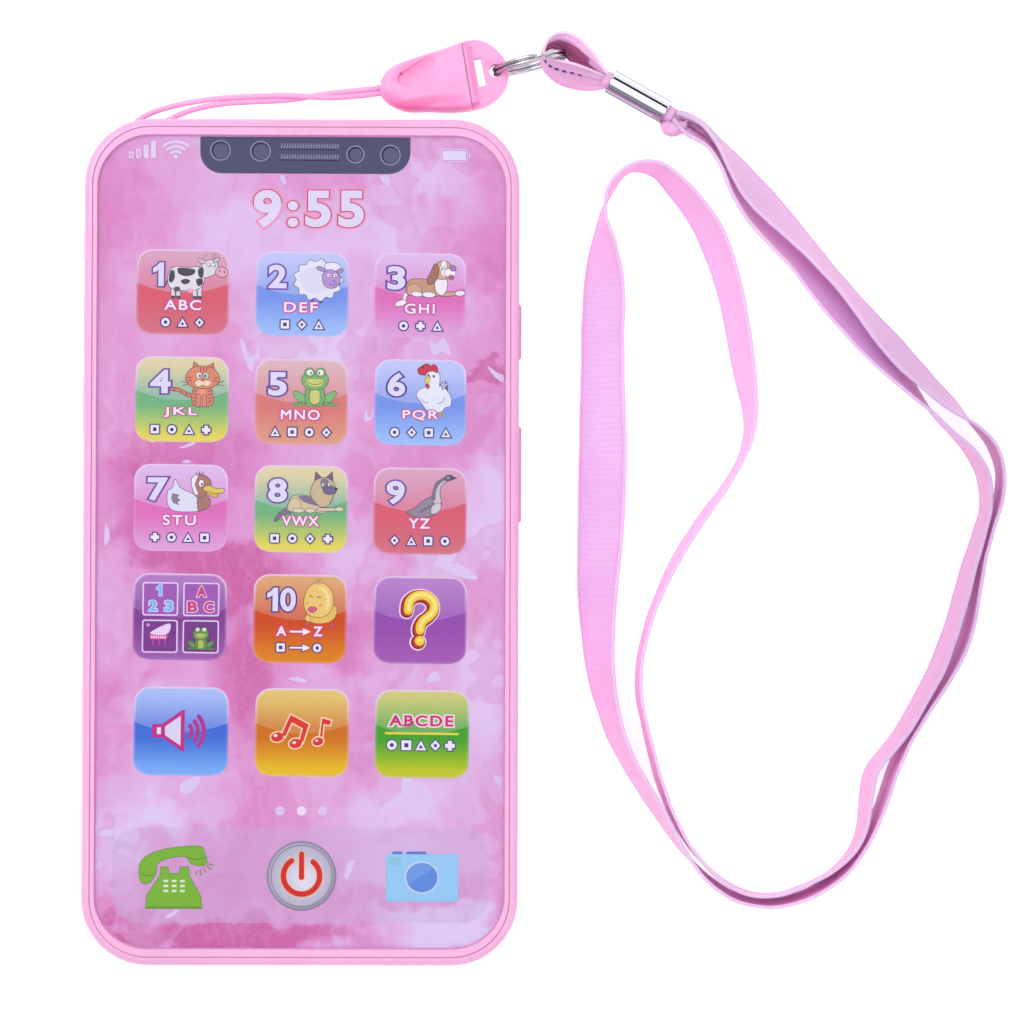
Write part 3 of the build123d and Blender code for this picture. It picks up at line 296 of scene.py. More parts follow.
def ribbon_material(name, face, edge, deep, pink=(236, 150, 204), rib=1.0, rib_depth=0.06, sss=0.4, fade=False):
    """Woven ribbon: short floats in rows, painted highlights along the selvedges with painted shade in a line beside
    them. UV: u along in mm, v across 0..1.
    """
    m, nt, b, out = new_mat(name)
    uv = node(nt, "ShaderNodeUVMap", uv_map="along").outputs[0]
    sep = node(nt, "ShaderNodeSeparateXYZ", {0: uv})
    u, v = sep.outputs[0], sep.outputs[1]
    across = math_node(nt, "MULTIPLY", v, 10.0)
    mm = node(nt, "ShaderNodeCombineXYZ", {0: u, 1: across}).outputs[0]
    jitter = noise(nt, mm, 0.5, 2.0, 0.5).outputs[0]
    ph = math_node(nt, "ADD", math_node(nt, "MULTIPLY", u, 2 * math.pi / rib), math_node(nt, "MULTIPLY", jitter, 3.0))
    ribs = math_node(nt, "MULTIPLY_ADD", math_node(nt, "SINE", ph), 0.5, 0.5)
    ph2 = math_node(nt, "ADD", math_node(nt, "MULTIPLY", across, 2 * math.pi / 0.62), math_node(nt, "MULTIPLY", ph, 0.5))
    warp = math_node(nt, "MULTIPLY_ADD", math_node(nt, "SINE", ph2), 0.5, 0.5)
    floats = math_node(nt, "MULTIPLY", ribs, warp)
    fine = noise(nt, node(nt, "ShaderNodeVectorMath", {0: mm, 1: (5.0, 1.2, 1)}, operation="MULTIPLY").outputs[0], 1.6, 2.0, 0.6).outputs[0]
    h = math_node(nt, "ADD", math_node(nt, "MULTIPLY", floats, 0.7), math_node(nt, "MULTIPLY", fine, 0.5))
    slow = noise(nt, mm, 0.06, 3.0, 0.6).outputs[0]
    lf, le, ld = rgba(face), rgba(edge), rgba(deep)
    col = mix(nt, map_range(nt, slow, 0.36, 0.66, 0.0, 0.30), lf, ld)
    col = mix(nt, map_range(nt, floats, 0.25, 0.9, 0.0, 0.46), col, ld)
    col = mix(nt, map_range(nt, fine, 0.5, 0.75, 0.0, 0.22), col, le)
    e = math_node(nt, "ABSOLUTE", math_node(nt, "SUBTRACT", v, 0.5))
    # painted shade: a darker line in the groove beside each selvedge
    groove_shade = math_node(nt, "MULTIPLY", map_range(nt, e, 0.40, 0.435, 0.0, 1.0), map_range(nt, e, 0.435, 0.46, 1.0, 0.0))
    col = mix(nt, math_node(nt, "MULTIPLY", groove_shade, 0.45), col, ld)
    # painted highlight: the colour is lightened along both selvedges
    col = mix(nt, map_range(nt, e, 0.45, 0.49, 0.0, 0.8, smooth=True), col, le)
    # painted shade: faces that stand upright, judged by their facing, are mixed towards a deeper pink than those that
    # lie open
    nz = math_node(nt, "ABSOLUTE", node(nt, "ShaderNodeSeparateXYZ", {0: node(nt, "ShaderNodeNewGeometry").outputs["True Normal"]}).outputs[2])
    col = mix(nt, map_range(nt, nz, 0.10, 0.70, 0.78, 0.0), col, rgba(pink))
    if fade:                                     # painted shade: the far run is made a little darker, from x 88 mm towards x 112 mm
        far = node(nt, "ShaderNodeSeparateXYZ", {0: coords(nt)}).outputs[0]
        k = map_range(nt, far, 88.0, 112.0, 1.0, 0.80)
        gk = node(nt, "ShaderNodeCombineXYZ", {0: k, 1: map_range(nt, far, 88.0, 112.0, 1.0, 0.84), 2: map_range(nt, far, 88.0, 112.0, 1.0, 0.87)}).outputs[0]
        col = node(nt, "ShaderNodeVectorMath", {0: col, 1: gk}, operation="MULTIPLY").outputs[0]
    nt.links.new(col, b.inputs["Base Color"])
    nt.links.new(map_range(nt, h, 0, 1, 0.62, 0.45), b.inputs["Roughness"])
    nt.links.new(bump(nt, h, 0.8, rib_depth * MM), b.inputs["Normal"])
    b.inputs["Specular IOR Level"].default_value = 0.25
    b.inputs["Sheen Weight"].default_value = 0.12
    b.inputs["Sheen Roughness"].default_value = 0.4
    b.inputs["Sheen Tint"].default_value = (1.0, 0.85, 0.98, 1)
    b.inputs["Subsurface Weight"].default_value = sss
    b.inputs["Subsurface Radius"].default_value = (0.0030, 0.0016, 0.0026)
    b.inputs["Subsurface Scale"].default_value = 1.0
    return m


def cord_material():
    m, nt, b, out = new_mat("cord_twist")
    uv = node(nt, "ShaderNodeUVMap", uv_map="along").outputs[0]
    sep = node(nt, "ShaderNodeSeparateXYZ", {0: uv})
    ph = math_node(nt, "ADD", math_node(nt, "MULTIPLY", sep.outputs[0], 2 * math.pi / 0.9), math_node(nt, "MULTIPLY", sep.outputs[1], 2 * math.pi * 3))
    tw = math_node(nt, "MULTIPLY_ADD", math_node(nt, "SINE", ph), 0.5, 0.5)
    p = coords(nt)
    n1 = noise(nt, p, 3.0, 3.0, 0.6).outputs[0]
    col = mix(nt, math_node(nt, "MULTIPLY", tw, 0.5), rgba((240, 164, 212)), rgba((250, 190, 228)))
    col = mix(nt, map_range(nt, n1, 0.3, 0.7, 0, 0.25), col, rgba((255, 214, 240)))
    nt.links.new(col, b.inputs["Base Color"])
    b.inputs["Roughness"].default_value = 0.5
    nt.links.new(bump(nt, tw, 0.4, 0.02 * MM), b.inputs["Normal"])
    b.inputs["Subsurface Weight"].default_value = 0.2
    b.inputs["Subsurface Radius"].default_value = (0.001, 0.0005, 0.0007)
    b.inputs["Subsurface Scale"].default_value = 1.0
    return m


def clip_material():
    """Soft satin plastic with a shallow thumb dent; painted shade makes the pink deeper in the dents and along the
    lower edge, and painted highlights make it paler on the raised ridges.
    """
    m, nt, b, out = new_mat("soft_clip_plastic")
    p = coords(nt)
    d = node(nt, "ShaderNodeVectorMath", {0: p, 1: (13.3, 78.4, 6.8)}, operation="SUBTRACT").outputs[0]
    loc = node(nt, "ShaderNodeVectorRotate", {"Vector": d, "Angle": math.radians(-9.7)}, rotation_type="Z_AXIS").outputs[0]
    wv = noise(nt, loc, 0.16, 2.0, 0.5).outputs[0]
    col = mix(nt, map_range(nt, wv, 0.35, 0.65, 0, 1), rgba((250, 160, 212)), rgba((254, 172, 220)))
    hgt = math_node(nt, "MULTIPLY", wv, 0.5)
    # each entry: centre, half sizes, turn, colour amount (positive is painted shade, negative is painted highlight),
    # bump height
    for cx, cy, rx, ry, rot, amt, deep in ((6.4, 2.5, 4.6, 1.5, 20, 0.55, -0.5), (6.0, -3.6, 6.2, 1.0, 2, 0.85, -0.3), (2.0, -2.6, 2.2, 1.6, -30, 0.35, -0.2),
                                           (16.6, -0.4, 0.5, 4.6, 2, -0.6, 0.3), (19.5, 3.6, 2.6, 1.6, 0, -0.3, 0.1), (12.2, -4.0, 2.6, 0.8, 0, 0.6, -0.1)):
        e = node(nt, "ShaderNodeVectorMath", {0: loc, 1: (cx, cy, 0)}, operation="SUBTRACT").outputs[0]
        e = node(nt, "ShaderNodeVectorRotate", {"Vector": e, "Angle": math.radians(-rot)}, rotation_type="Z_AXIS").outputs[0]
        e = node(nt, "ShaderNodeVectorMath", {0: e, 1: (1 / rx, 1 / ry, 0)}, operation="MULTIPLY").outputs[0]
        ln = node(nt, "ShaderNodeVectorMath", {0: e}, operation="LENGTH").outputs["Value"]
        f = map_range(nt, ln, 0.45, 1.25, 1.0, 0.0, smooth=True)
        tint = rgba((250, 128, 186)) if amt > 0 else rgba((254, 184, 232))
        col = mix(nt, math_node(nt, "MULTIPLY", f, abs(amt)), col, tint)
        hgt = math_node(nt, "ADD", hgt, math_node(nt, "MULTIPLY", f, deep))
    # painted shade: a dark dot for the small pit at the dent's end
    e = node(nt, "ShaderNodeVectorMath", {0: loc, 1: (3.9, 1.9, 0)}, operation="SUBTRACT").outputs[0]
    e = node(nt, "ShaderNodeVectorMath", {0: e, 1: (1, 1, 0)}, operation="MULTIPLY").outputs[0]
    ln = node(nt, "ShaderNodeVectorMath", {0: e}, operation="LENGTH").outputs["Value"]
    col = mix(nt, map_range(nt, ln, 0.12, 0.34, 0.8, 0.0), col, rgba((176, 60, 130)))
    nt.links.new(col, b.inputs["Base Color"])
    nt.links.new(map_range(nt, wv, 0.3, 0.7, 0.34, 0.46), b.inputs["Roughness"])
    fine = noise(nt, p, 6.0, 2.0, 0.5).outputs[0]
    n1 = bump(nt, hgt, 0.7, 0.5 * MM)
    nt.links.new(bump(nt, fine, 0.3, 0.002 * MM, n1), b.inputs["Normal"])
    b.inputs["Subsurface Weight"].default_value = 0.2
    b.inputs["Subsurface Radius"].default_value = (0.0012, 0.0006, 0.0008)
    b.inputs["Subsurface Scale"].default_value = 1.0
    return m


M_SHELL = plastic("pink_shell_plastic", (238, 172, 218), rough=0.30, vary=0.035, mottle=0.03)
M_FRAME = plastic("pink_frame_plastic", (236, 174, 217), rough=0.26, vary=0.035, mottle=0.03)
M_KEY = plastic("pink_key_plastic", (239, 170, 217), rough=0.26, vary=0.04, mottle=0.2)
M_DOOR = plastic("pink_door_plastic", (238, 168, 216), rough=0.36, vary=0.04, mottle=0.05, grain=14.0, grain_depth=0.003)
M_CLIP = clip_material()
M_WALL = wallpaper()
M_INK = ink_material()
M_FILM = film_material()
# the colour given for upright faces is painted shade
M_RIB = ribbon_material("ribbon_weave", (223, 186, 231), (230, 194, 236), (210, 154, 210), pink=(255, 168, 216), rib_depth=0.08, fade=True)
M_LOOP = ribbon_material("ribbon_loop_weave", (234, 184, 228), (244, 206, 240), (222, 140, 194), pink=(240, 178, 220), rib=0.8)
# painted shade: a darker copy of the loop ribbon for the loop's shaded inner faces
M_LOOP_INSIDE_SHADE = ribbon_material("ribbon_loop_inside_shade", (188, 104, 150), (236, 166, 212), (158, 72, 120), pink=(196, 96, 150), rib=0.8, sss=0.1)
M_MARK = plastic("navy_print", (44, 44, 150), rough=0.5, vary=0.2, mottle=1.5)
M_CORD = cord_material()
M_CHROME = metal("chrome_tube", (246, 246, 250), rough=0.06, brushed=(1, 1, 1), vary=0.03, depth=0, edge=(0.20, 0.18, 0.26, 1))
_nt = M_CHROME.node_tree                    # painted shade: the base colour is darkened on the side turned to the lower left
_b = next(n for n in _nt.nodes if n.type == "BSDF_PRINCIPLED")
_src = _b.inputs["Base Color"].links[0].from_socket
_lowerleft_shade = node(_nt, "ShaderNodeVectorMath", {0: node(_nt, "ShaderNodeNewGeometry").outputs["Normal"], 1: (-0.486, -0.874, 0.0)}, operation="DOT_PRODUCT").outputs["Value"]
_nt.links.new(mix(_nt, map_range(_nt, _lowerleft_shade, 0.25, 0.60, 0, 1), _src, (0.50, 0.48, 0.56, 1)), _b.inputs["Base Color"])
M_RING = metal("ring_steel_polished", (216, 214, 217), rough=0.16, brushed=(0.4, 0.4, 0.4), vary=0.05, depth=0, edge=(0.16, 0.15, 0.17, 1))
M_SCREW = metal("screw_zinc", (190, 190, 196), rough=0.26, brushed=(3, 0.6, 1))
M_SPRING = metal("spring_steel", (196, 196, 200), rough=0.2)
M_PLATE = metal("contact_nickel", (202, 200, 194), rough=0.24, brushed=(4, 1, 1))
M_SPK = metal("speaker_steel", (150, 150, 154), rough=0.34, brushed=(2, 2, 1))
M_COPPER = metal("copper_pad", (214, 150, 96), rough=0.32)
M_FERRITE = plastic("ferrite_dark", (58, 58, 62), rough=0.55, vary=0.2, mottle=0.6, grain=6)
M_CONE = plastic("cone_film", (206, 200, 190), rough=0.3, vary=0.06, mottle=0.5)
M_FOAM = plastic("foam_ring", (34, 34, 36), rough=0.9, vary=0.3, mottle=2.0, grain=4, grain_depth=0.06, spec=0.2)
M_BOARD = plastic("board_lacquer", (34, 104, 62), rough=0.3, vary=0.18, mottle=0.4, grain=5, grain_depth=0.004)
M_RESIN = plastic("resin_drop", (16, 16, 18), rough=0.22, vary=0.3, mottle=0.5)
M_SMD = plastic("chip_ceramic", (120, 96, 74), rough=0.5, vary=0.2, mottle=2.0)
M_CAP = plastic("capacitor_sleeve", (30, 34, 84), rough=0.28, vary=0.15, mottle=0.5)
M_WRED = plastic("wire_red", (196, 24, 30), rough=0.4, vary=0.12, mottle=0.6)
M_WBLK = plastic("wire_black", (24, 24, 26), rough=0.4, vary=0.2, mottle=0.6)
M_CELL = plastic("cell_sleeve", (60, 120, 168), rough=0.28, vary=0.10, mottle=0.3, flow=(1, 0.2, 1))
M_SWITCH = plastic("switch_black", (32, 32, 36), rough=0.4, vary=0.15, mottle=0.8)


def dress(nodes, material):
    for n in nodes:
        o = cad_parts[n]
        o.data.materials.clear()
        o.data.materials.append(material)
        for poly in o.data.polygons:
            poly.material_index = 0


dress(["rear_shell"], M_SHELL)
dress(["front_frame"], M_FRAME)
dress(["battery_door"], M_DOOR)
dress(["mute_key", "volume_up_key", "volume_down_key", "side_key"], M_KEY)
dress(["screen_film"], M_FILM)
dress(["clip_socket", "clip_plug"], M_CLIP)
dress(["split_ring"], M_RING)
dress(["case_screws", "door_screw"], M_SCREW)
dress(["battery_springs"], M_SPRING)
dress(["contact_plates"], M_PLATE)
dress(["speaker_frame"], M_SPK)
dress(["speaker_magnet"], M_FERRITE)
dress(["speaker_cone"], M_CONE)
dress(["speaker_gasket"], M_FOAM)
dress(["touch_board", "side_boards"], M_BOARD)
dress(["touch_pads"], M_COPPER)
dress(["chip_blob"], M_RESIN)
dress(["smd_parts"], M_SMD)
dress(["electrolytic_capacitor"], M_CAP)
dress(["speaker_lead_red", "battery_lead_red"], M_WRED)
dress(["speaker_lead_black", "battery_lead_black"], M_WBLK)
dress(["battery_cells"], M_CELL)
dress(["side_switches"], M_SWITCH)


def mesh_object(name, verts, faces, material, uvs=None, smooth=True):
    """verts in mm."""
    me = bpy.data.meshes.new(name)
    me.from_pydata([(x * MM, y * MM, z * MM) for x, y, z in verts], [], faces)
    if uvs is not None:
        lay = me.uv_layers.new(name="along")
        for poly in me.polygons:
            for li in poly.loop_indices:
                lay.data[li].uv = uvs[me.loops[li].vertex_index]
    me.materials.append(material)
    me.validate()
    me.update()
    if smooth:
        me.polygons.foreach_set("use_smooth", [True] * len(me.polygons))
    o = bpy.data.objects.new(name, me)
    scene.collection.objects.link(o)
    return o


# ------------------------------------------------------------------ printed inks
TILT = math.radians(-0.62)
INK0 = 14.80                                # top of the printed sheet


class Inks:
    """Collects thin closed prisms, each with its own colour, into one mesh."""

    def __init__(self, name):
        self.name, self.v, self.f, self.c = name, [], [], []
        self.z = INK0 + 0.025
        self.xf = lambda x, y: (x, y)

    def frame_at(self, ox, oy, s, cx=0.0, cy=0.0):
        """Local units: right and down from a corner at (ox, oy), s mm each, turned about (cx, cy)."""
        ct, st = math.cos(TILT), math.sin(TILT)

        def f(x, y):
            X, Y = ox + x * s, oy - y * s
            dx, dy = X - cx, Y - cy
            return (cx + dx * ct - dy * st, cy + dx * st + dy * ct)
        self.xf, self.s = f, s

    def prism(self, pts, col, z=None, colf=None):
        if z is None:
            self.z += 0.0016
            z = self.z
        pts = [self.xf(*p) for p in pts]
        area = sum(a[0] * b[1] - b[0] * a[1] for a, b in zip(pts, pts[1:] + pts[:1]))
        if area < 0:
            pts.reverse()
        n, k = len(pts), len(self.v)
        self.v += [(x, y, INK0 + 0.002) for x, y in pts] + [(x, y, z) for x, y in pts]
        self.f.append(list(range(k + n, k + 2 * n)))
        self.f.append(list(range(k + n - 1, k - 1, -1)))
        for i in range(n):
            j = (i + 1) % n
            self.f.append([k + i, k + j, k + n + j, k + n + i])
        self.c += [lin(col)] * (n + 2)

    def mesh_part(self, verts, faces, cols):
        k = len(self.v)
        self.v += verts
        self.f += [[k + i for i in f] for f in faces]
        self.c += cols

    # shapes in local units; o = (outline colour, outline width)
    def E(self, cx, cy, rx, ry, col, rot=0.0, o=None, n=28):
        if o:
            self.E(cx, cy, rx + o[1], ry + o[1], o[0], rot, None, n)
        cr, sr = math.cos(math.radians(rot)), math.sin(math.radians(rot))
        self.prism([(cx + rx * math.cos(t) * cr - ry * math.sin(t) * sr, cy + rx * math.cos(t) * sr + ry * math.sin(t) * cr)
                    for t in [2 * math.pi * i / n for i in range(n)]], col)

    def P(self, pts, col, o=None):
        if o:
            self.prism(grow(pts, o[1]), o[0])
        self.prism(list(pts), col)

    def B(self, pts, col, o=None, k=5):
        pts = smooth_loop(pts, k)
        if o:
            self.prism(grow(pts, o[1]), o[0])
        self.prism(pts, col)

    def S(self, pts, w, col, o=None, closed=False, k=5):
        if len(pts) > 2:
            pts = smooth_line(pts, k)
        if o:
            self.prism(ribbon2d(pts, w + 2 * o[1]), o[0])
        self.prism(ribbon2d(pts, w), col)

    def RR(self, x0, y0, x1, y1, r, col, o=None, n=6):
        if o:
            self.RR(x0 - o[1], y0 - o[1], x1 + o[1], y1 + o[1], r + o[1], o[0], None, n)
        self.prism(round_rect(x0, y0, x1, y1, r, n), col)

    def T(self, body, cx, cy, h, col, w=None, bold=0.0, o=None, o2=None, halo=None):
        """Text centred at (cx, cy) with capital height h; halo draws its edge as shifted copies."""
        if body == "1":
            k = h / 100.0
            one = [(cx + x * k, cy + y * k) for x, y in ((2, -50), (20, -50), (20, 50), (-3, 50), (-3, -18), (-12, -11), (-26, -6), (-26, -26), (-10, -36))]
            for grow_by, c_ in ((o[1] + o2[1] if o2 else 0, o2[0] if o2 else None), (o[1] if o else 0, o[0] if o else None), (0, col)):
                if c_:
                    self.prism(grow(one, grow_by) if grow_by else one, c_)
            return
        base = text_mesh(body, bold)
        xs, ys = [p[0] for p in base[0]], [p[1] for p in base[0]]
        sy = h / (max(ys) - min(ys))
        sx = w / (max(xs) - min(xs)) if w else sy
        mx, my = (max(xs) + min(xs)) / 2, (max(ys) + min(ys)) / 2
        if halo:
            vs, fs = text_mesh(body, bold)
            for i in range(8):
                self.z += 0.0006
                dx, dy = (halo[1] * q(math.radians(45 * i + 22.5)) for q in (math.cos, math.sin))
                out = []
                for x, y, z in vs:
                    X, Y = self.xf(cx + (x - mx) * sx + dx, cy - (y - my) * sy + dy)
                    out.append((X, Y, self.z if z > 0 else INK0 + 0.002))
                self.mesh_part(out, fs, [lin(halo[0])] * len(fs))
        layers = []
        if o2:
            layers.append((bold + (o[1] + o2[1]) / sy, o2[0]))
        if o:
            layers.append((bold + o[1] / sy, o[0]))
        layers.append((bold, col))
        for off, c in layers:
            self.z += 0.0018
            vs, fs = text_mesh(body, off)
            out = []
            for x, y, z in vs:
                X, Y = self.xf(cx + (x - mx) * sx, cy - (y - my) * sy)
                out.append((X, Y, self.z if z > 0 else INK0 + 0.002))
            self.mesh_part(out, fs, [lin(c)] * len(fs))

    def build(self, body="phone"):
        me = bpy.data.meshes.new(self.name)
        me.from_pydata([(x * MM, y * MM, z * MM) for x, y, z in self.v], [], self.f)
        a = me.attributes.new("ink", "FLOAT_COLOR", "CORNER")
        flat = []
        for poly, c in zip(me.polygons, self.c):
            if isinstance(c, list):
                for cc in c:
                    flat += [*cc, 1.0]
            else:
                flat += [*c, 1.0] * poly.loop_total
        a.data.foreach_set("color", flat)
        me.materials.append(M_INK)
        me.update()
        ob = bpy.data.objects.new(self.name, me)
        scene.collection.objects.link(ob)
        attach(ob, body)
        return ob


def smooth_loop(pts, k=5):
    n, out = len(pts), []
    for i in range(n):
        p0, p1, p2, p3 = pts[i - 1], pts[i], pts[(i + 1) % n], pts[(i + 2) % n]
        for j in range(k):
            t = j / k
            out.append(tuple(0.5 * (2 * p1[a] + (p2[a] - p0[a]) * t + (2 * p0[a] - 5 * p1[a] + 4 * p2[a] - p3[a]) * t * t
                                    + (3 * p1[a] - p0[a] - 3 * p2[a] + p3[a]) * t ** 3) for a in (0, 1)))
    return out


def smooth_line(pts, k=5):
    pts = [tuple(2 * a - b for a, b in zip(pts[0], pts[1]))] + list(pts) + [tuple(2 * a - b for a, b in zip(pts[-1], pts[-2]))]
    out = []
    for i in range(1, len(pts) - 2):
        p0, p1, p2, p3 = pts[i - 1:i + 3]
        for j in range(k):
            t = j / k
            out.append(tuple(0.5 * (2 * p1[a] + (p2[a] - p0[a]) * t + (2 * p0[a] - 5 * p1[a] + 4 * p2[a] - p3[a]) * t * t
                                    + (3 * p1[a] - p0[a] - 3 * p2[a] + p3[a]) * t ** 3) for a in (0, 1)))
    out.append(tuple(pts[-2]))
    return out


def grow(pts, d):
    """The polygon pushed outward by d."""
    area = sum(a[0] * b[1] - b[0] * a[1] for a, b in zip(pts, pts[1:] + pts[:1]))
    sgn = 1 if area > 0 else -1
    out, n = [], len(pts)
    for i in range(n):
        (x0, y0), (x1, y1), (x2, y2) = pts[i - 1], pts[i], pts[(i + 1) % n]
        n1 = _norm2(y1 - y0, -(x1 - x0))
        n2 = _norm2(y2 - y1, -(x2 - x1))
        m = _norm2(n1[0] + n2[0], n1[1] + n2[1])
        k = d / max(0.55, m[0] * n1[0] + m[1] * n1[1])
        out.append((x1 + sgn * m[0] * k, y1 + sgn * m[1] * k))
    return out


def _norm2(x, y):
    l = math.hypot(x, y) or 1.0
    return (x / l, y / l)


def ribbon2d(pts, w):
    """Outline of a round-ended line of width w."""
    left, right, h, n = [], [], w / 2, len(pts)
    for i in range(n):
        a, b = pts[max(i - 1, 0)], pts[min(i + 1, n - 1)]
        tx, ty = _norm2(b[0] - a[0], b[1] - a[1])
        left.append((pts[i][0] - ty * h, pts[i][1] + tx * h))
        right.append((pts[i][0] + ty * h, pts[i][1] - tx * h))

    def cap(p, q, frm):
        a0 = math.atan2(frm[1] - p[1], frm[0] - p[0])
        return [(p[0] + h * math.cos(a0 + q * math.pi * t / 6), p[1] + h * math.sin(a0 + q * math.pi * t / 6)) for t in range(1, 6)]
    return left + cap(pts[-1], -1, left[-1]) + right[::-1] + cap(pts[0], -1, right[0])


def round_rect(x0, y0, x1, y1, r, n=6):
    out = []
    for cx, cy, a in ((x1 - r, y1 - r, 0), (x0 + r, y1 - r, 90), (x0 + r, y0 + r, 180), (x1 - r, y0 + r, 270)):
        for i in range(n + 1):
            t = math.radians(a + 90 * i / n)
            out.append((cx + r * math.cos(t), cy + r * math.sin(t)))
    return out


_text = {}


def text_mesh(body, offset):
    key = (body, round(offset, 5))
    if key not in _text:
        c = bpy.data.curves.new("t", "FONT")
        c.body, c.size, c.offset, c.extrude, c.resolution_u = body, 1.0, offset, 0.1, 5
        c.space_character = 1.20
        ob = bpy.data.objects.new("t", c)
        scene.collection.objects.link(ob)
        dg = bpy.context.evaluated_depsgraph_get()
        me = bpy.data.meshes.new_from_object(ob.evaluated_get(dg))
        bm = bmesh.new()
        bm.from_mesh(me)
        bmesh.ops.remove_doubles(bm, verts=bm.verts, dist=1e-5)
        _text[key] = ([tuple(v.co) for v in bm.verts], [[v.index for v in f.verts] for f in bm.faces])
        bm.free()
        bpy.data.objects.remove(ob)
        bpy.data.curves.remove(c)
        bpy.data.meshes.remove(me)
    return _text[key]


# the printed sheet under the film
sheet_lo, sheet_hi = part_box("graphic_sheet")
sx0, sy0, sx1, sy1 = sheet_lo.x / MM, sheet_lo.y / MM, sheet_hi.x / MM, sheet_hi.y / MM
outline = round_rect(sx0, sy0, sx1, sy1, 8.8, 14)
nn = len(outline)
sheet = mesh_object("printed_sheet", [(x, y, 14.72) for x, y in outline] + [(x, y, INK0) for x, y in outline],
                    [list(range(nn, 2 * nn)), list(range(nn - 1, -1, -1))] + [[i, (i + 1) % nn, nn + (i + 1) % nn, nn + i] for i in range(nn)],
                    M_WALL, smooth=False)
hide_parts("graphic_sheet")
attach(sheet, "phone")

# ---- tiles
TILES = [(-20.4, 42.7, 15.79, 14.59), (0.07, 42.42, 15.83, 14.5), (20.28, 42.26, 15.62, 14.47),
         (-20.46, 24.28, 15.98, 14.63), (-0.02, 23.9, 15.84, 14.65), (20.37, 23.86, 15.68, 14.71),
         (-20.55, 5.68, 16.04, 14.88), (0.01, 5.53, 15.91, 14.9), (20.39, 5.24, 15.93, 14.82),
         (-20.65, -13.0, 16.03, 14.84), (-0.08, -13.29, 15.97, 15.19), (20.47, -13.45, 15.87, 14.94),
         (-20.35, -32.54, 16.15, 15.11), (0.31, -32.72, 16.01, 15.03), (20.86, -32.92, 16.09, 15.04)]
# middle colour, colour towards the top and bottom edges, strength of the gloss over the upper part
PALETTE = {
    "rose": ((220, 95, 115), (215, 115, 130), 0.55),
    "sky": ((120, 155, 235), (160, 195, 250), 0.55),
    "magenta": ((225, 115, 190), (225, 165, 220), 0.55),
    "lime": ((115, 185, 130), (230, 220, 95), 0.50),
    "salmon": ((220, 125, 120), (225, 160, 135), 0.50),
    "plum": ((130, 60, 150), (160, 90, 175), 0.30),
    "orange": ((210, 75, 15), (225, 135, 15), 0.45),
    "violet": ((150, 75, 175), (165, 90, 180), 0.35),
    "blue": ((60, 110, 215), (120, 175, 245), 0.50),
    "amber": ((210, 115, 5), (235, 195, 25), 0.40),
    "green": ((65, 165, 35), (195, 205, 25), 0.45)}
TILE_COLOURS = ("rose", "sky", "magenta", "lime", "salmon", "sky", "magenta", "lime", "rose",
                "plum", "orange", "violet", "blue", "amber", "green")
GLOSS = (225, 215, 250)


def split_at(fx):
    return 0.40 + 0.11 * (1 - (2 * fx - 1) ** 2)


def tone(k, fy, upper):
    """Colour of tile k at fraction fy from its top, above or below the gloss line."""
    mid, end, gloss = PALETTE[TILE_COLOURS[k]]
    u = min(1.0, max(0.0, (0.44 - fy) / 0.36 if upper else (fy - 0.56) / 0.36))
    c = [m + (e - m) * u for m, e in zip(mid, end)]
    if upper:
        f = gloss * (0.66 + 0.34 * u)
        c = [a + (g - a) * f for a, g in zip(c, GLOSS)]
    return lin(tuple(c))


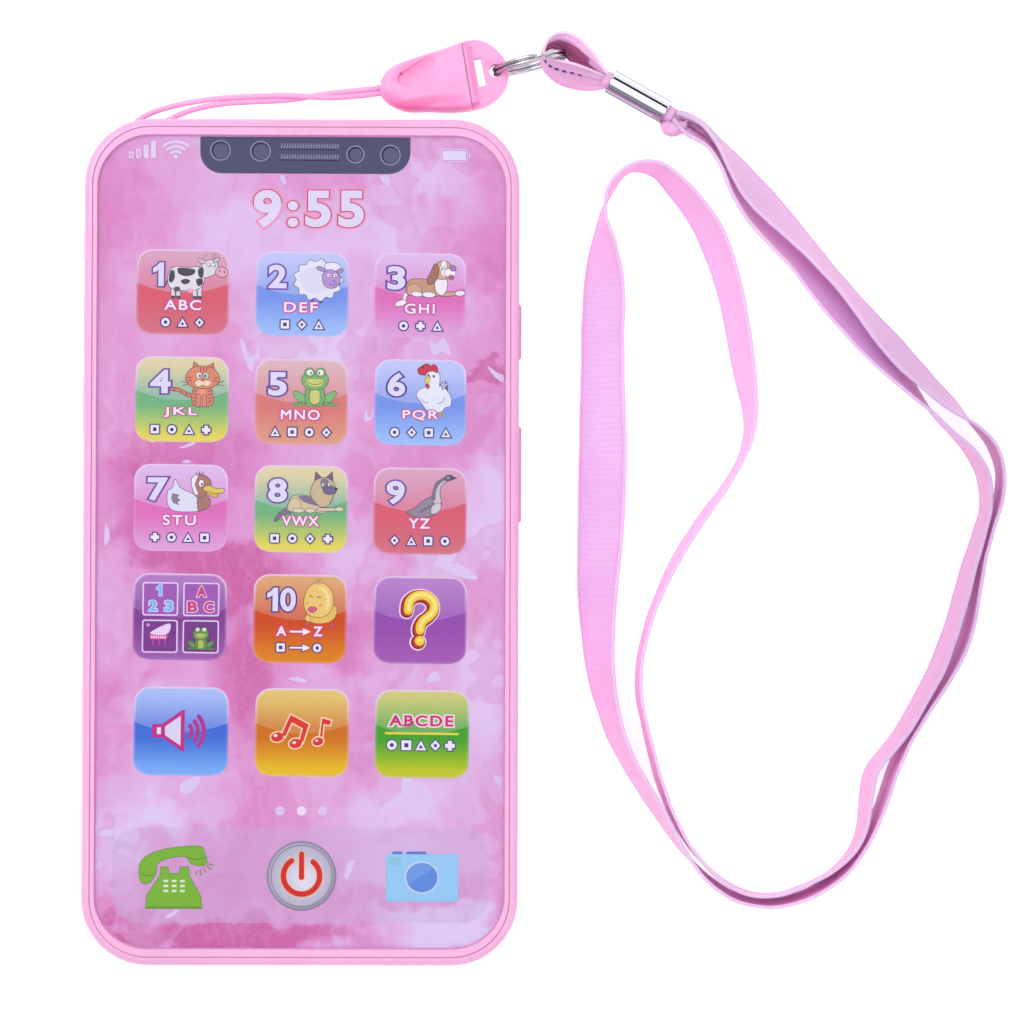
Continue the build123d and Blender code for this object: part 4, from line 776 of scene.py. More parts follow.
tiles = Inks("icon_tiles")
RAD = 2.7
EDGE = [0.0, 0.10, 0.20, 0.32, 0.46, 0.64, 0.9]
for k, (cx, cy, w, h) in enumerate(TILES):
    ct, st = math.cos(TILT), math.sin(TILT)
    xs = [e / w for e in EDGE] + [0.06 + 0.88 * (i + 0.5) / 20 for i in range(20)] + [1 - e / w for e in reversed(EDGE)]
    n1, n2 = len(EDGE) + 14, 22
    NXX = len(xs)
    V, F, C, FY = [], [], [], []
    for j in range(n1 + n2 + 1):
        for i, fx in enumerate(xs):
            sm = split_at(fx)
            if j < len(EDGE):
                fy = EDGE[j] / h
            elif j <= n1:
                e0 = EDGE[-1] / h
                fy = e0 + (sm - e0) * (j - len(EDGE) + 1) / (n1 - len(EDGE) + 1)
            else:
                fy = sm + (1 - sm) * (j - n1) / n2
            y = h * fy
            d = min(y, h - y)
            inset = RAD - math.sqrt(max(0.0, RAD * RAD - (RAD - d) ** 2)) if d < RAD else 0.0
            x = inset + (w - 2 * inset) * fx
            X, Y = x - w / 2, h / 2 - y
            V.append((cx + X * ct - Y * st, cy + X * st + Y * ct, INK0 + 0.022))
            # distance in from the rounded edge, for the light rim
            qx, qy = abs(X) - (w / 2 - RAD), abs(Y) - (h / 2 - RAD)
            dist = RAD - (math.hypot(max(qx, 0), max(qy, 0)) + min(max(qx, qy), 0))
            FY.append((fy, max(0.0, dist)))
    top = len(V)
    V += [(x, y, INK0 + 0.002) for x, y, z in V]
    for j in range(n1 + n2):
        for i in range(NXX - 1):
            a = j * NXX + i
            b, c, d = a + 1, a + NXX + 1, a + NXX
            F.append([a, d, c, b])
            cols = []
            for idx in (a, d, c, b):
                fy, dist = FY[idx]
                base = tone(k, fy, j < n1)
                rimw = max(0.0, 1 - dist / 0.42)
                fade = max(0.0, min(1.0, (0.42 - fy) / 0.30))
                f = min(1.0, 1.5 * rimw) * fade * 0.85 + 0.25 * rimw * (1 - fade)
                cols.append(tuple(base[q] + (lin((238, 216, 246))[q] - base[q]) * f for q in range(3)))
            C.append(cols)
            F.append([top + a, top + b, top + c, top + d])
            C.append(cols)
    NYY = n1 + n2
    ring = list(range(NXX)) + [j * NXX + NXX - 1 for j in range(1, NYY + 1)] + [NYY * NXX + i for i in range(NXX - 2, -1, -1)] + [j * NXX for j in range(NYY - 1, 0, -1)]
    for a, b in zip(ring, ring[1:] + ring[:1]):
        F.append([a, b, top + b, top + a])
        C.append(tone(k, 0.8, False))
    tiles.mesh_part(V, F, C)
tiles.build()

# ---- pictures and lettering on the tiles
art = Inks("icon_pictures")
U = 0.0382                                  # local drawing unit, mm
INKD, LAV, NAVY, MAG = (64, 58, 92), (226, 224, 248), (66, 52, 134), (206, 84, 160)
PURP = (108, 78, 168)


def at(k):
    cx, cy, w, h = TILES[k]
    art.z = INK0 + 0.026
    art.frame_at(cx - w / 2, cy + h / 2, U, cx, cy)


def digit(s, x=98, w=None, dark=PURP):
    if s == "10":
        art.T("1", x - 38, 113, 106, LAV, o=(dark, 6.5))
        art.T("0", x + 28, 113, 106, LAV, w=70, bold=0.03, o=(dark, 6.5))
        return
    art.T(s, x, 113, 106, LAV, w=w, bold=0.035, o=(dark, 6.5))


def letters(s, x, w, y=250, colour=(250, 240, 250), edge=MAG):
    art.T(s, x, y, 43, colour, w=w, halo=(edge, 6.3))
    art.T(s, x, y, 43, colour, w=w, halo=(colour, 1.3))


def shapes(kinds, x0, x1, y=328, r=19):
    """A row of plain white shapes with a navy edge."""
    n = len(kinds)
    for i, kd in enumerate(kinds):
        x = x0 + (x1 - x0) * i / max(1, n - 1)
        o = (NAVY, 5)
        c = (240, 238, 250)
        if kd == "c":
            art.E(x, y, r, r, c, o=o)
            art.E(x, y, r * 0.42, r * 0.42, NAVY)
        elif kd == "s":
            art.RR(x - r, y - r, x + r, y + r, 3, c, o=o)
            art.RR(x - r * 0.42, y - r * 0.42, x + r * 0.42, y + r * 0.42, 1, NAVY)
        elif kd == "t":
            art.P([(x, y - r), (x + r * 1.1, y + r), (x - r * 1.1, y + r)], c, o=o)
            art.P([(x, y - r * 0.15), (x + r * 0.45, y + r * 0.6), (x - r * 0.45, y + r * 0.6)], NAVY)
        elif kd == "d":
            art.P([(x, y - r * 1.1), (x + r, y), (x, y + r * 1.1), (x - r, y)], c, o=o)
            art.P([(x, y - r * 0.45), (x + r * 0.4, y), (x, y + r * 0.45), (x - r * 0.4, y)], NAVY)
        elif kd == "x":
            q = r * 0.42
            art.P([(x - q, y - r), (x + q, y - r), (x + q, y - q), (x + r, y - q), (x + r, y + q), (x + q, y + q),
                   (x + q, y + r), (x - q, y + r), (x - q, y + q), (x - r, y + q), (x - r, y - q), (x - q, y - q)], c, o=o)


OUT = (INKD, 2.4)
# 1 cow
at(0)
art.S([(150, 100), (138, 140), (126, 168)], 5, (90, 84, 96))
for lx in (165, 188, 262, 284):
    art.S([(lx, 160), (lx - 2, 190), (lx, 212)], 17, (224, 222, 228), o=OUT)
    art.E(lx, 214, 10, 6, (86, 80, 96))
art.B([(150, 92), (180, 78), (230, 82), (272, 78), (296, 100), (302, 140), (280, 174), (235, 184), (180, 182), (148, 168), (140, 130)], (230, 228, 232), o=OUT)
art.B([(185, 84), (225, 84), (262, 92), (250, 114), (215, 120), (186, 108)], (76, 74, 92))
art.B([(148, 100), (166, 96), (170, 128), (156, 150), (144, 140)], (76, 74, 92))
art.B([(198, 140), (222, 132), (240, 142), (224, 156), (206, 154)], (76, 74, 92))
art.B([(266, 136), (292, 130), (296, 152), (276, 164)], (76, 74, 92))
art.B([(168, 172), (188, 168), (196, 184), (172, 190)], (96, 92, 106))
art.B([(276, 92), (300, 60), (320, 48), (352, 50), (362, 76), (350, 108), (318, 122), (290, 124)], (226, 224, 228), o=OUT)
art.B([(274, 96), (292, 76), (300, 98), (294, 126), (280, 122)], (76, 74, 92))
art.E(290, 52, 17, 9, (214, 196, 206), rot=25, o=OUT)
art.E(356, 46, 15, 8, (214, 196, 206), rot=-35, o=OUT)
art.S([(306, 48), (300, 34), (308, 26)], 5, (214, 206, 190), o=(INKD, 1.5))
art.S([(338, 42), (340, 28), (350, 22)], 5, (214, 206, 190), o=(INKD, 1.5))
art.E(380, 100, 27, 22, (238, 172, 200), rot=14, o=OUT)
art.E(372, 95, 3.5, 5, (150, 80, 120))
art.E(392, 99, 3.5, 5, (150, 80, 120))
art.E(322, 70, 7, 9, (250, 250, 250), o=(INKD, 1.6))
art.E(344, 70, 7, 9, (250, 250, 250), o=(INKD, 1.6))
art.E(324, 72, 3, 4, INKD)
art.E(346, 72, 3, 4, INKD)
art.B([(228, 176), (252, 178), (250, 194), (232, 192)], (240, 176, 202))
digit("1", 100, 62)
letters("ABC", 208, 162)
shapes("ctd", 132, 284)
# 2 sheep
at(1)
for lx in (252, 292):
    art.S([(lx, 190), (lx, 224)], 12, (92, 88, 118), o=(INKD, 1.5))
fl = [(278 + (104 + 7 * math.cos(13 * t)) * math.cos(t), 126 + (88 + 7 * math.cos(13 * t)) * math.sin(t)) for t in [2 * math.pi * i / 104 for i in range(104)]]
art.P(fl, (232, 234, 248), o=(74, 76, 120) and ((74, 76, 120), 2.6))
art.B([(190, 120), (214, 82), (262, 66), (310, 76), (330, 110), (324, 160), (280, 184), (226, 176)], (222, 224, 244))
art.E(342, 66, 36, 19, (236, 238, 250), rot=6, o=((74, 76, 120), 2.2))
art.E(290, 76, 19, 8, (176, 150, 210), rot=18, o=OUT)
art.E(374, 84, 16, 8, (176, 150, 210), rot=-24, o=OUT)
art.B([(304, 92), (336, 80), (366, 96), (376, 126), (364, 152), (334, 162), (308, 150), (298, 120)], (184, 154, 214), o=OUT)
art.E(326, 104, 9, 8, (250, 250, 252), o=(INKD, 1.6))
art.E(354, 104, 9, 8, (250, 250, 252), o=(INKD, 1.6))
art.E(328, 105, 3.4, 4, INKD)
art.E(356, 105, 3.4, 4, INKD)
art.S([(326, 142), (344, 148), (362, 138)], 3, (110, 76, 150))
art.E(350, 130, 6, 3.4, (130, 94, 170))
digit("2", 96, 82)
letters("DEF", 202, 148)
shapes("sdt", 132, 284)
# 3 dog lying
at(2)
art.S([(150, 176), (136, 196), (132, 220)], 15, (240, 234, 240), o=OUT)
art.E(118, 226, 26, 12, (244, 240, 246), rot=-18, o=OUT)
art.B([(142, 150), (158, 122), (200, 116), (250, 122), (288, 150), (296, 184), (256, 196), (190, 192), (148, 184)], (204, 158, 132), o=OUT)
art.B([(150, 150), (176, 138), (206, 150), (208, 182), (176, 192), (150, 182)], (212, 170, 142), o=(INKD, 1.8))
art.E(190, 184, 24, 11, (244, 240, 246), rot=6, o=OUT)
art.E(244, 186, 28, 12, (244, 240, 246), rot=2, o=OUT)
art.S([(300, 184), (340, 182), (374, 178)], 16, (212, 170, 142), o=OUT)
art.E(384, 178, 22, 11, (244, 240, 246), rot=-4, o=OUT)
art.B([(276, 112), (312, 110), (326, 132), (320, 170), (300, 188), (278, 172), (270, 140)], (246, 242, 248), o=OUT)
art.B([(262, 66), (284, 40), (318, 36), (342, 54), (348, 84), (330, 108), (296, 116), (268, 100)], (214, 172, 144), o=OUT)
art.B([(300, 40), (318, 38), (322, 74), (316, 100), (300, 92)], (248, 244, 248))
art.B([(268, 50), (282, 56), (284, 96), (268, 130), (244, 138), (236, 122), (252, 84)], (168, 120, 104), o=OUT)
art.B([(316, 74), (344, 66), (362, 82), (356, 100), (330, 104), (314, 92)], (248, 244, 248), o=(INKD, 1.8))
art.E(350, 66, 15, 12, (164, 126, 190), rot=10, o=(INKD, 1.8))
art.B([(334, 100), (350, 98), (354, 112), (342, 118), (332, 110)], (190, 110, 120), o=(INKD, 1.5))
art.E(298, 66, 6.5, 9, (250, 250, 252), o=(INKD, 1.6))
art.E(318, 64, 6.5, 9, (250, 250, 252), o=(INKD, 1.6))
art.E(300, 68, 3, 4, INKD)
art.E(319, 66, 3, 4, INKD)
digit("3", 97, 80)
letters("GHI", 204, 132)
shapes("cxt", 132, 284)
# 4 cat
at(3)
art.S([(258, 178), (228, 168), (196, 150), (160, 146), (150, 142)], 14, (214, 132, 108), o=OUT)
for sx in (178, 206, 232):
    art.S([(sx, 144 + (sx - 178) * 0.3), (sx - 4, 156 + (sx - 178) * 0.32)], 4, (150, 66, 78))
art.B([(268, 130), (300, 122), (336, 134), (348, 180), (344, 214), (300, 224), (262, 216), (254, 178)], (220, 140, 112), o=OUT)
art.B([(286, 140), (306, 136), (316, 168), (308, 214), (288, 214), (280, 172)], (232, 160, 128))
art.S([(284, 178), (282, 216)], 17, (224, 146, 116), o=OUT)
art.S([(310, 178), (310, 216)], 17, (224, 146, 116), o=OUT)
for yy in (150, 166, 182, 198):
    art.S([(262, yy), (274, yy + 5)], 4, (158, 72, 80))
    art.S([(342, yy), (328, yy + 5)], 4, (158, 72, 80))
art.P([(254, 66), (262, 24), (292, 48)], (216, 132, 108), o=OUT)
art.P([(316, 46), (348, 28), (354, 68)], (216, 132, 108), o=OUT)
art.P([(262, 56), (267, 38), (281, 50)], (196, 98, 98))
art.P([(328, 50), (344, 40), (347, 58)], (196, 98, 98))
art.B([(226, 92), (250, 54), (300, 42), (352, 56), (376, 92), (366, 122), (328, 140), (276, 140), (238, 122)], (224, 142, 112), o=OUT)
for p in ([(290, 46), (292, 64)], [(304, 45), (305, 64)], [(318, 47), (316, 64)], [(232, 92), (250, 94)], [(236, 108), (252, 106)], [(370, 92), (354, 94)], [(366, 108), (350, 106)]):
    art.S(p, 4.2, (160, 74, 80))
art.B([(266, 118), (284, 104), (302, 110), (322, 104), (340, 116), (322, 132), (302, 126), (282, 134)], (240, 224, 186), o=(INKD, 1.5))
art.E(284, 84, 12, 14, (226, 232, 220), o=(INKD, 1.8))
art.E(316, 84, 12, 14, (190, 214, 200), o=(INKD, 1.8))
art.E(288, 86, 4, 6, INKD)
art.E(312, 86, 4, 6, INKD)
art.E(302, 104, 6, 4.4, (180, 84, 100))
for a, b in (((238, 118), (208, 112)), ((238, 124), (210, 130)), ((366, 116), (396, 108)), ((366, 124), (396, 128))):
    art.S([a, b], 1.8, INKD)
digit("4", 112, 92)
letters("JKL", 204, 148)
shapes("sctx", 90, 320)
# 5 frog
at(4)


def frog(x, y, s, body, belly, dark):
    def q(*p):
        return [(x + a * s, y + b * s) for a, b in p]
    o = (dark, 2.4 * s)
    art.B(q((-80, 70), (-98, 44), (-92, 28), (-60, 40), (-34, 62), (-30, 84), (-60, 86)), body, o=o)
    art.B(q((80, 70), (98, 44), (92, 28), (60, 40), (34, 62), (30, 84), (60, 86)), body, o=o)
    for sg in (-1, 1):
        for a in ((-100, 88), (-84, 92), (-66, 92)):
            art.S(q((sg * 52, 84), (sg * -a[0], a[1])), 9 * s, body, o=(dark, 1.6 * s))
            art.E(x + sg * -a[0] * s, y + a[1] * s, 6.5 * s, 5 * s, body, o=(dark, 1.4 * s))
    art.B(q((-34, 10), (34, 10), (44, 50), (36, 86), (0, 94), (-36, 86), (-44, 50)), body, o=o)
    art.B(q((-18, 26), (18, 26), (22, 60), (16, 84), (-16, 84), (-22, 60)), belly, o=(dark, 1.4 * s))
    for sg in (-1, 1):
        art.S(q((sg * 30, 30), (sg * 38, 62), (sg * 26, 90)), 12 * s, body, o=(dark, 1.8 * s))
        art.E(x + sg * 26 * s, y + 92 * s, 15 * s, 5.5 * s, body, o=(dark, 1.6 * s))
    art.B(q((-60, -22), (-48, -50), (0, -58), (48, -50), (60, -22), (44, 8), (0, 20), (-44, 8)), body, o=o)
    art.E(x - 26 * s, y - 58 * s, 22 * s, 20 * s, body, o=o)
    art.E(x + 26 * s, y - 58 * s, 22 * s, 20 * s, body, o=o)
    art.E(x - 24 * s, y - 58 * s, 14 * s, 13 * s, (250, 252, 250), o=(dark, 1.6 * s))
    art.E(x + 24 * s, y - 58 * s, 14 * s, 13 * s, (250, 252, 250), o=(dark, 1.6 * s))
    art.E(x - 20 * s, y - 56 * s, 4.6 * s, 6 * s, dark)
    art.E(x + 20 * s, y - 56 * s, 4.6 * s, 6 * s, dark)
    art.B(q((-46, -22), (0, -30), (46, -22), (28, 2), (0, 8), (-28, 2)), belly, o=(dark, 1.8 * s))
    art.S(q((-44, -20), (-20, -6), (0, -3), (20, -6), (44, -20)), 2.6 * s, dark)


frog(268, 116, 0.97, (136, 190, 122), (206, 214, 122), (60, 92, 72))
digit("5", 100, 82)
letters("MNO", 204, 172)
shapes("tscd", 92, 322)
# 6 hen
at(5)
for p in ((286, 252), (300, 258), (314, 254)):
    art.S([(296, 232), p], 5, (224, 176, 92), o=(INKD, 1.2))
art.B([(290, 106), (280, 120), (300, 148), (326, 150), (328, 118), (318, 96), (304, 104)], (96, 100, 150))
art.B([(208, 190), (188, 160), (206, 132), (240, 126), (262, 138), (292, 118), (318, 132), (342, 168), (340, 206), (316, 214), (302, 232), (268, 236), (236, 226)], (232, 236, 250), o=((86, 92, 140), 2.6))
art.B([(232, 60), (262, 44), (288, 62), (290, 100), (284, 136), (252, 146), (228, 132), (236, 100)], (236, 240, 252), o=((86, 92, 140), 2.4))
art.B([(230, 122), (290, 122), (300, 150), (262, 164), (224, 150)], (236, 240, 252))
art.S([(206, 172), (222, 190), (244, 194)], 3, (150, 158, 200))
art.S([(316, 168), (300, 192), (280, 196)], 3, (150, 158, 200))
for a in ((300, 106), (312, 100), (322, 108)):
    art.S([(306, 130), a], 6, (210, 216, 244), o=((60, 64, 110), 1.8))
art.B([(198, 62), (194, 42), (208, 34), (216, 38), (220, 24), (238, 20), (248, 30), (264, 22), (278, 34), (280, 56), (262, 50), (238, 54), (224, 68)], (206, 62, 84), o=((110, 30, 60), 2.4))
art.P([(226, 84), (248, 76), (246, 100), (228, 110)], (228, 214, 110), o=((120, 96, 40), 1.6))
art.E(238, 120, 7, 10, (210, 70, 90), o=((110, 30, 60), 1.6))
art.E(240, 70, 4.6, 6, INKD)
art.E(264, 74, 4.6, 6, INKD)
digit("6", 97, 80, dark=(70, 58, 146))
letters("PQR", 206, 156)
shapes("cdst", 92, 322)
# 7 duck
at(6)
art.B([(150, 170), (152, 120), (170, 108), (184, 68), (204, 104), (252, 128), (290, 146), (336, 158), (334, 186), (300, 206), (220, 212), (168, 202)], (226, 228, 246), o=((86, 84, 136), 2.6))
art.B([(286, 150), (318, 136), (340, 158), (336, 186), (304, 204), (288, 204)], (172, 124, 112), o=OUT)
art.P([(172, 132), (200, 138), (190, 150), (206, 160), (192, 168), (200, 182), (176, 172), (168, 152)], (150, 128, 146), o=(INKD, 1.5))
art.B([(256, 82), (262, 56), (290, 44), (326, 56), (344, 84), (332, 118), (312, 140), (288, 148), (268, 130)], (176, 124, 112), o=OUT)
art.B([(256, 82), (262, 56), (286, 46), (272, 90), (286, 130), (270, 132)], (240, 238, 248), o=(INKD, 1.8))
art.E(300, 84, 11, 15, (250, 250, 252), o=(INKD, 1.8))
art.E(303, 88, 4.6, 6, INKD)
art.B([(310, 104), (336, 94), (366, 108), (396, 106), (402, 118), (380, 128), (340, 124), (316, 118)], (226, 206, 92), o=(INKD, 2.2))
art.B([(322, 120), (350, 128), (376, 132), (366, 146), (338, 138)], (216, 188, 80), o=(INKD, 2.0))
for a, b in (((282, 48), (276, 36)), ((292, 44), (292, 32)), ((302, 44), (308, 34))):
    art.S([a, b], 3.2, INKD)
digit("7", 106, 92)
letters("STU", 204, 146)
shapes("xcts", 96, 318)
# 8 shepherd dog
at(7)
art.B([(162, 214), (130, 222), (98, 250), (90, 246), (112, 214), (150, 190)], (132, 120, 142), o=OUT)
art.B([(152, 170), (170, 138), (220, 134), (270, 146), (306, 168), (310, 200), (250, 206), (166, 206), (146, 196)], (214, 196, 164), o=OUT)
art.B([(196, 138), (240, 138), (290, 156), (300, 180), (260, 176), (216, 160)], (128, 120, 150))
art.B([(158, 160), (184, 148), (206, 168), (202, 202), (168, 208), (150, 192)], (220, 202, 168), o=(INKD, 1.8))
for x, w in ((196, 26), (250, 22), (300, 26)):
    art.E(x, 202, w, 9, (226, 212, 184), rot=2, o=(INKD, 2))
art.S([(290, 196), (340, 196), (372, 192)], 13, (220, 204, 172), o=OUT)
art.E(380, 194, 19, 9, (226, 212, 184), o=(INKD, 2))
art.P([(268, 74), (272, 28), (302, 58)], (120, 108, 124), o=OUT)
art.P([(318, 56), (346, 28), (350, 76)], (120, 108, 124), o=OUT)
art.B([(256, 98), (272, 66), (312, 54), (348, 70), (360, 100), (350, 140), (330, 176), (300, 184), (272, 164), (250, 132)], (206, 188, 150), o=OUT)
for p in ([(258, 130), (252, 142)], [(262, 146), (258, 158)], [(274, 160), (270, 172)], [(344, 148), (352, 156)], [(338, 160), (344, 170)]):
    art.S(p, 4, (150, 136, 130))
art.B([(296, 62), (326, 62), (336, 88), (322, 104), (298, 100)], (136, 124, 146))
art.B([(310, 96), (344, 90), (364, 106), (356, 124), (326, 128), (308, 116)], (116, 108, 140), o=(INKD, 1.8))
art.E(364, 104, 8, 6, INKD)
art.E(306, 86, 6, 7.5, (248, 248, 248), o=(INKD, 1.5))
art.E(334, 84, 6, 7.5, (248, 248, 248), o=(INKD, 1.5))
art.E(308, 87, 2.8, 3.6, INKD)
art.E(336, 85, 2.8, 3.6, INKD)
digit("8", 102, 84)
letters("VWX", 206, 162)
shapes("scdx", 92, 330)
# 9 goose
at(8)
art.B([(150, 198), (178, 186), (214, 156), (252, 132), (282, 130), (302, 152), (298, 184), (272, 208), (226, 222), (180, 218)], (150, 142, 156), o=OUT)
for i in range(5):
    art.S([(196 + 16 * i, 200 - 10 * i), (216 + 16 * i, 196 - 8 * i), (232 + 13 * i, 184 - 8 * i)], 3, (96, 90, 112))
art.B([(262, 140), (268, 100), (282, 66), (312, 46), (340, 38), (348, 50), (322, 62), (300, 84), (296, 116), (302, 152), (284, 168)], (206, 200, 210), o=OUT)
art.B([(262, 140), (268, 100), (282, 66), (312, 46), (318, 52), (292, 76), (278, 108), (276, 144)], (128, 122, 144))
art.E(334, 44, 19, 12, (112, 106, 130), rot=-14, o=OUT)
art.P([(346, 36), (372, 44), (348, 52)], (80, 76, 96), o=(INKD, 1.5))
art.E(332, 42, 3, 3, (240, 240, 244))
art.B([(266, 168), (298, 160), (300, 184), (278, 204), (258, 200)], (216, 210, 218), o=(INKD, 1.5))
digit("9", 98, 82)
letters("YZ", 206, 92)
shapes("dtsc", 96, 322)
# row 4 left: four small squares
at(9)
for x0, y0, x1, y1 in ((42, 40, 202, 190), (224, 40, 386, 190), (42, 208, 202, 356), (224, 208, 386, 356)):
    art.RR(x0, y0, x1, y1, 12, (232, 216, 244))
    art.RR(x0 + 6, y0 + 6, x1 - 6, y1 - 6, 8, (164, 92, 184) if y0 < 100 else (122, 56, 142))
for s, x, y in (("1", 118, 76), ("2", 90, 146), ("3", 160, 146)):
    art.T(s, x, y, 50, (120, 190, 240), w=26 if s == "1" else 38, bold=0.04, o=((228, 226, 250), 3))
for s, x, y in (("A", 306, 80), ("B", 266, 148), ("C", 340, 148)):
    art.T(s, x, y, 48, (206, 56, 130), w=44, bold=0.04, o=((240, 224, 244), 3.4))
art.B([(78, 268), (130, 236), (168, 226), (164, 262), (140, 276), (110, 276)], (238, 214, 246), o=((150, 60, 150), 2))
art.P([(72, 276), (160, 276), (152, 296), (80, 296)], (220, 66, 160))
for x in range(84, 152, 10):
    art.P([(x, 280), (x + 5, 280), (x + 5, 292), (x, 292)], (250, 240, 250))
for x in (92, 120, 146):
    art.S([(x, 298), (x, 322)], 5, (220, 66, 160))
art.B([(60, 232), (70, 224), (78, 232), (68, 240)], (206, 150, 220))
frog(306, 284, 0.58, (104, 158, 84), (180, 196, 96), (40, 66, 44))
# row 4 middle: chick
at(10)
for x, y, sg in ((238, 214, -1), (356, 218, 1)):
    for a in (-14, 0, 14):
        art.S([(x - sg * 14, y - 12), (x + a * 0.5, y + 16)], 5, (222, 84, 120), o=((120, 40, 70), 1))
art.B([(326, 160), (350, 138), (372, 148), (364, 190), (330, 214), (270, 216), (244, 192), (248, 160)], (232, 196, 100), o=((130, 84, 50), 2.4))
art.B([(226, 130), (238, 72), (274, 38), (318, 42), (350, 76), (356, 130), (334, 176), (290, 190), (246, 176)], (238, 206, 116), o=((130, 84, 50), 2.4))
art.B([(290, 56), (316, 60), (338, 90), (342, 130), (326, 160), (326, 110), (312, 76)], (248, 226, 160))
art.S([(290, 42), (284, 26), (296, 22)], 4, (232, 196, 100), o=((130, 84, 50), 1.6))
art.S([(248, 100), (256, 94), (264, 100)], 3.4, (110, 70, 50))
art.S([(284, 104), (292, 98), (300, 104)], 3.4, (110, 70, 50))
art.B([(244, 152), (264, 144), (284, 152), (268, 168), (252, 166)], (214, 90, 140), o=((120, 40, 80), 1.8))
art.E(240, 128, 9, 6, (240, 160, 130))
art.E(300, 136, 9, 6, (240, 160, 130))
art.B([(256, 190), (250, 210), (232, 200), (240, 182)], (236, 200, 110), o=((130, 84, 50), 1.8))
digit("10", 126, 132, dark=(78, 62, 152))
art.T("A", 126, 254, 44, (252, 236, 250), w=46, bold=0.03, o=((206, 60, 130), 5))
art.T("Z", 290, 254, 44, (252, 236, 250), w=42, bold=0.03, o=((206, 60, 130), 5))
for y, e in ((256, (206, 60, 130)), (328, (70, 50, 120))):
    art.P([(164, y - 4), (222, y - 4), (222, y - 16), (258, y), (222, y + 16), (222, y + 4), (164, y + 4)], (252, 240, 250), o=(e, 4))
shapes("s", 124, 124, 328, 19)
shapes("c", 288, 288, 328, 19)
# row 4 right: question mark
at(11)
QM = [(152, 152), (158, 112), (190, 86), (232, 86), (264, 112), (268, 146), (250, 174), (222, 196), (208, 220), (206, 240)]
for dx, dy, wide, col_ in ((-6, 6, 68, (250, 228, 240)), (-5, 6, 58, (122, 30, 60)), (-2, 3, 51, (196, 50, 50)), (2, 0, 39, (240, 214, 55)), (4, -3, 17, (250, 236, 130))):
    art.S([(x + dx, y + dy) for x, y in QM], wide, col_, k=4)
    art.E(205 + dx, 288 + dy, wide * 0.56, wide * 0.56, col_)
# row 5 left: loudspeaker
at(12)
art.P([(84, 168), (128, 168), (218, 104), (226, 104), (226, 286), (218, 286), (128, 226), (84, 226)], (196, 40, 136), o=((150, 70, 190), 2))
art.P([(104, 182), (122, 182), (122, 212), (104, 212)], (236, 232, 248))
art.P([(140, 178), (210, 128), (210, 262), (140, 216)], (222, 218, 244))
for r, a0 in ((44, 34), (72, 38), (100, 42)):
    pts = [(218 + (r - 4) * math.cos(math.radians(a)) * 0.98 + 2, 196 + r * math.sin(math.radians(a)) * 0.98) for a in [(-a0 + 2 * a0 * i / 14) for i in range(15)]]
    art.S(pts, 16, (186, 44, 146), o=((120, 90, 200), 1.6), k=2)
# row 5 middle: music notes
at(13)
CR = ((248, 222, 180), 6)
art.P([(158, 118), (240, 160), (214, 244), (196, 244), (214, 178), (164, 152), (134, 218), (116, 214)], (222, 48, 44), o=CR)
art.E(100, 218, 28, 21, (222, 48, 44), rot=-12, o=CR)
art.E(182, 246, 28, 21, (222, 48, 44), rot=-12, o=CR)
art.P([(300, 132), (340, 142), (334, 162), (306, 158), (300, 232), (288, 232)], (222, 48, 44), o=CR)
art.E(282, 236, 24, 18, (222, 48, 44), rot=-12, o=CR)
art.E(100, 218, 28, 21, (222, 48, 44), rot=-12)
art.E(182, 246, 28, 21, (222, 48, 44), rot=-12)
art.P([(160, 122), (234, 160), (212, 240), (200, 240), (216, 174), (160, 146), (132, 214), (120, 210)], (226, 52, 46))
art.E(282, 236, 24, 18, (222, 48, 44), rot=-12)
art.E(92, 212, 9, 7, (250, 238, 232), rot=-12)
art.E(176, 242, 9, 6, (250, 238, 232), rot=-12)
art.E(276, 232, 7, 5, (250, 238, 232), rot=-12)
# row 5 right: two rows of generic marks
at(14)
art.T("ABCDE", 206, 138, 50, (206, 40, 126), w=288, bold=0.03, o=((238, 232, 226), 6))
art.RR(44, 190, 376, 200, 4, (232, 220, 70))
shapes("cstdx", 76, 336, 248, 22)
art.build()

# ---- status marks, notch, clock, dots, dock pictures
hud = Inks("screen_marks")


def mm_frame(ink, tilt=False):
    ink.z = INK0 + 0.010
    ink.s = 1.0
    ink.xf = (lambda x, y: (x, y))


mm_frame(hud)
SLATE = (78, 80, 112)
pts = [(-17.5, sheet_hi.y / MM - 0.05), (18.55, sheet_hi.y / MM - 0.05)]
x0, x1, yb, rr = -17.5, 18.55, 63.1, 3.7
pts += [(x1 - rr + rr * math.cos(math.radians(a)), yb + rr + rr * math.sin(math.radians(a))) for a in range(0, -91, -9)]
pts += [(x0 + rr + rr * math.cos(math.radians(a)), yb + rr + rr * math.sin(math.radians(a))) for a in range(-90, -181, -9)]
hud.prism(pts, SLATE)


def ringline(x, y, r):
    """Lens drawn as a soft ring: lighter above, darker below."""
    hud.E(x, y, r + 0.06, r + 0.06, (146, 148, 176), n=40)
    hud.E(x, y, r - 0.16, r - 0.16, (40, 42, 70), n=40)
    hud.E(x + 0.10, y - 0.10, r - 0.40, r - 0.40, (92, 94, 126), n=40)


for x, y, r in ((-14.05, 67.05, 1.72), (-7.17, 66.93, 1.72), (9.1, 66.45, 1.50), (15.1, 66.35, 1.72)):
    ringline(x, y, r)
for y in (67.75, 65.9):
    for i in range(22):
        x = -3.6 + 9.6 * i / 21
        hud.S([(x, y - 0.24), (x + 0.16, y + 0.24)], 0.20, (150, 152, 180))
    hud.S([(-3.9, y - 0.44), (6.2, y - 0.50)], 0.14, (44, 46, 74))
    hud.S([(-3.9, y + 0.46), (6.2, y + 0.40)], 0.12, (120, 122, 152))
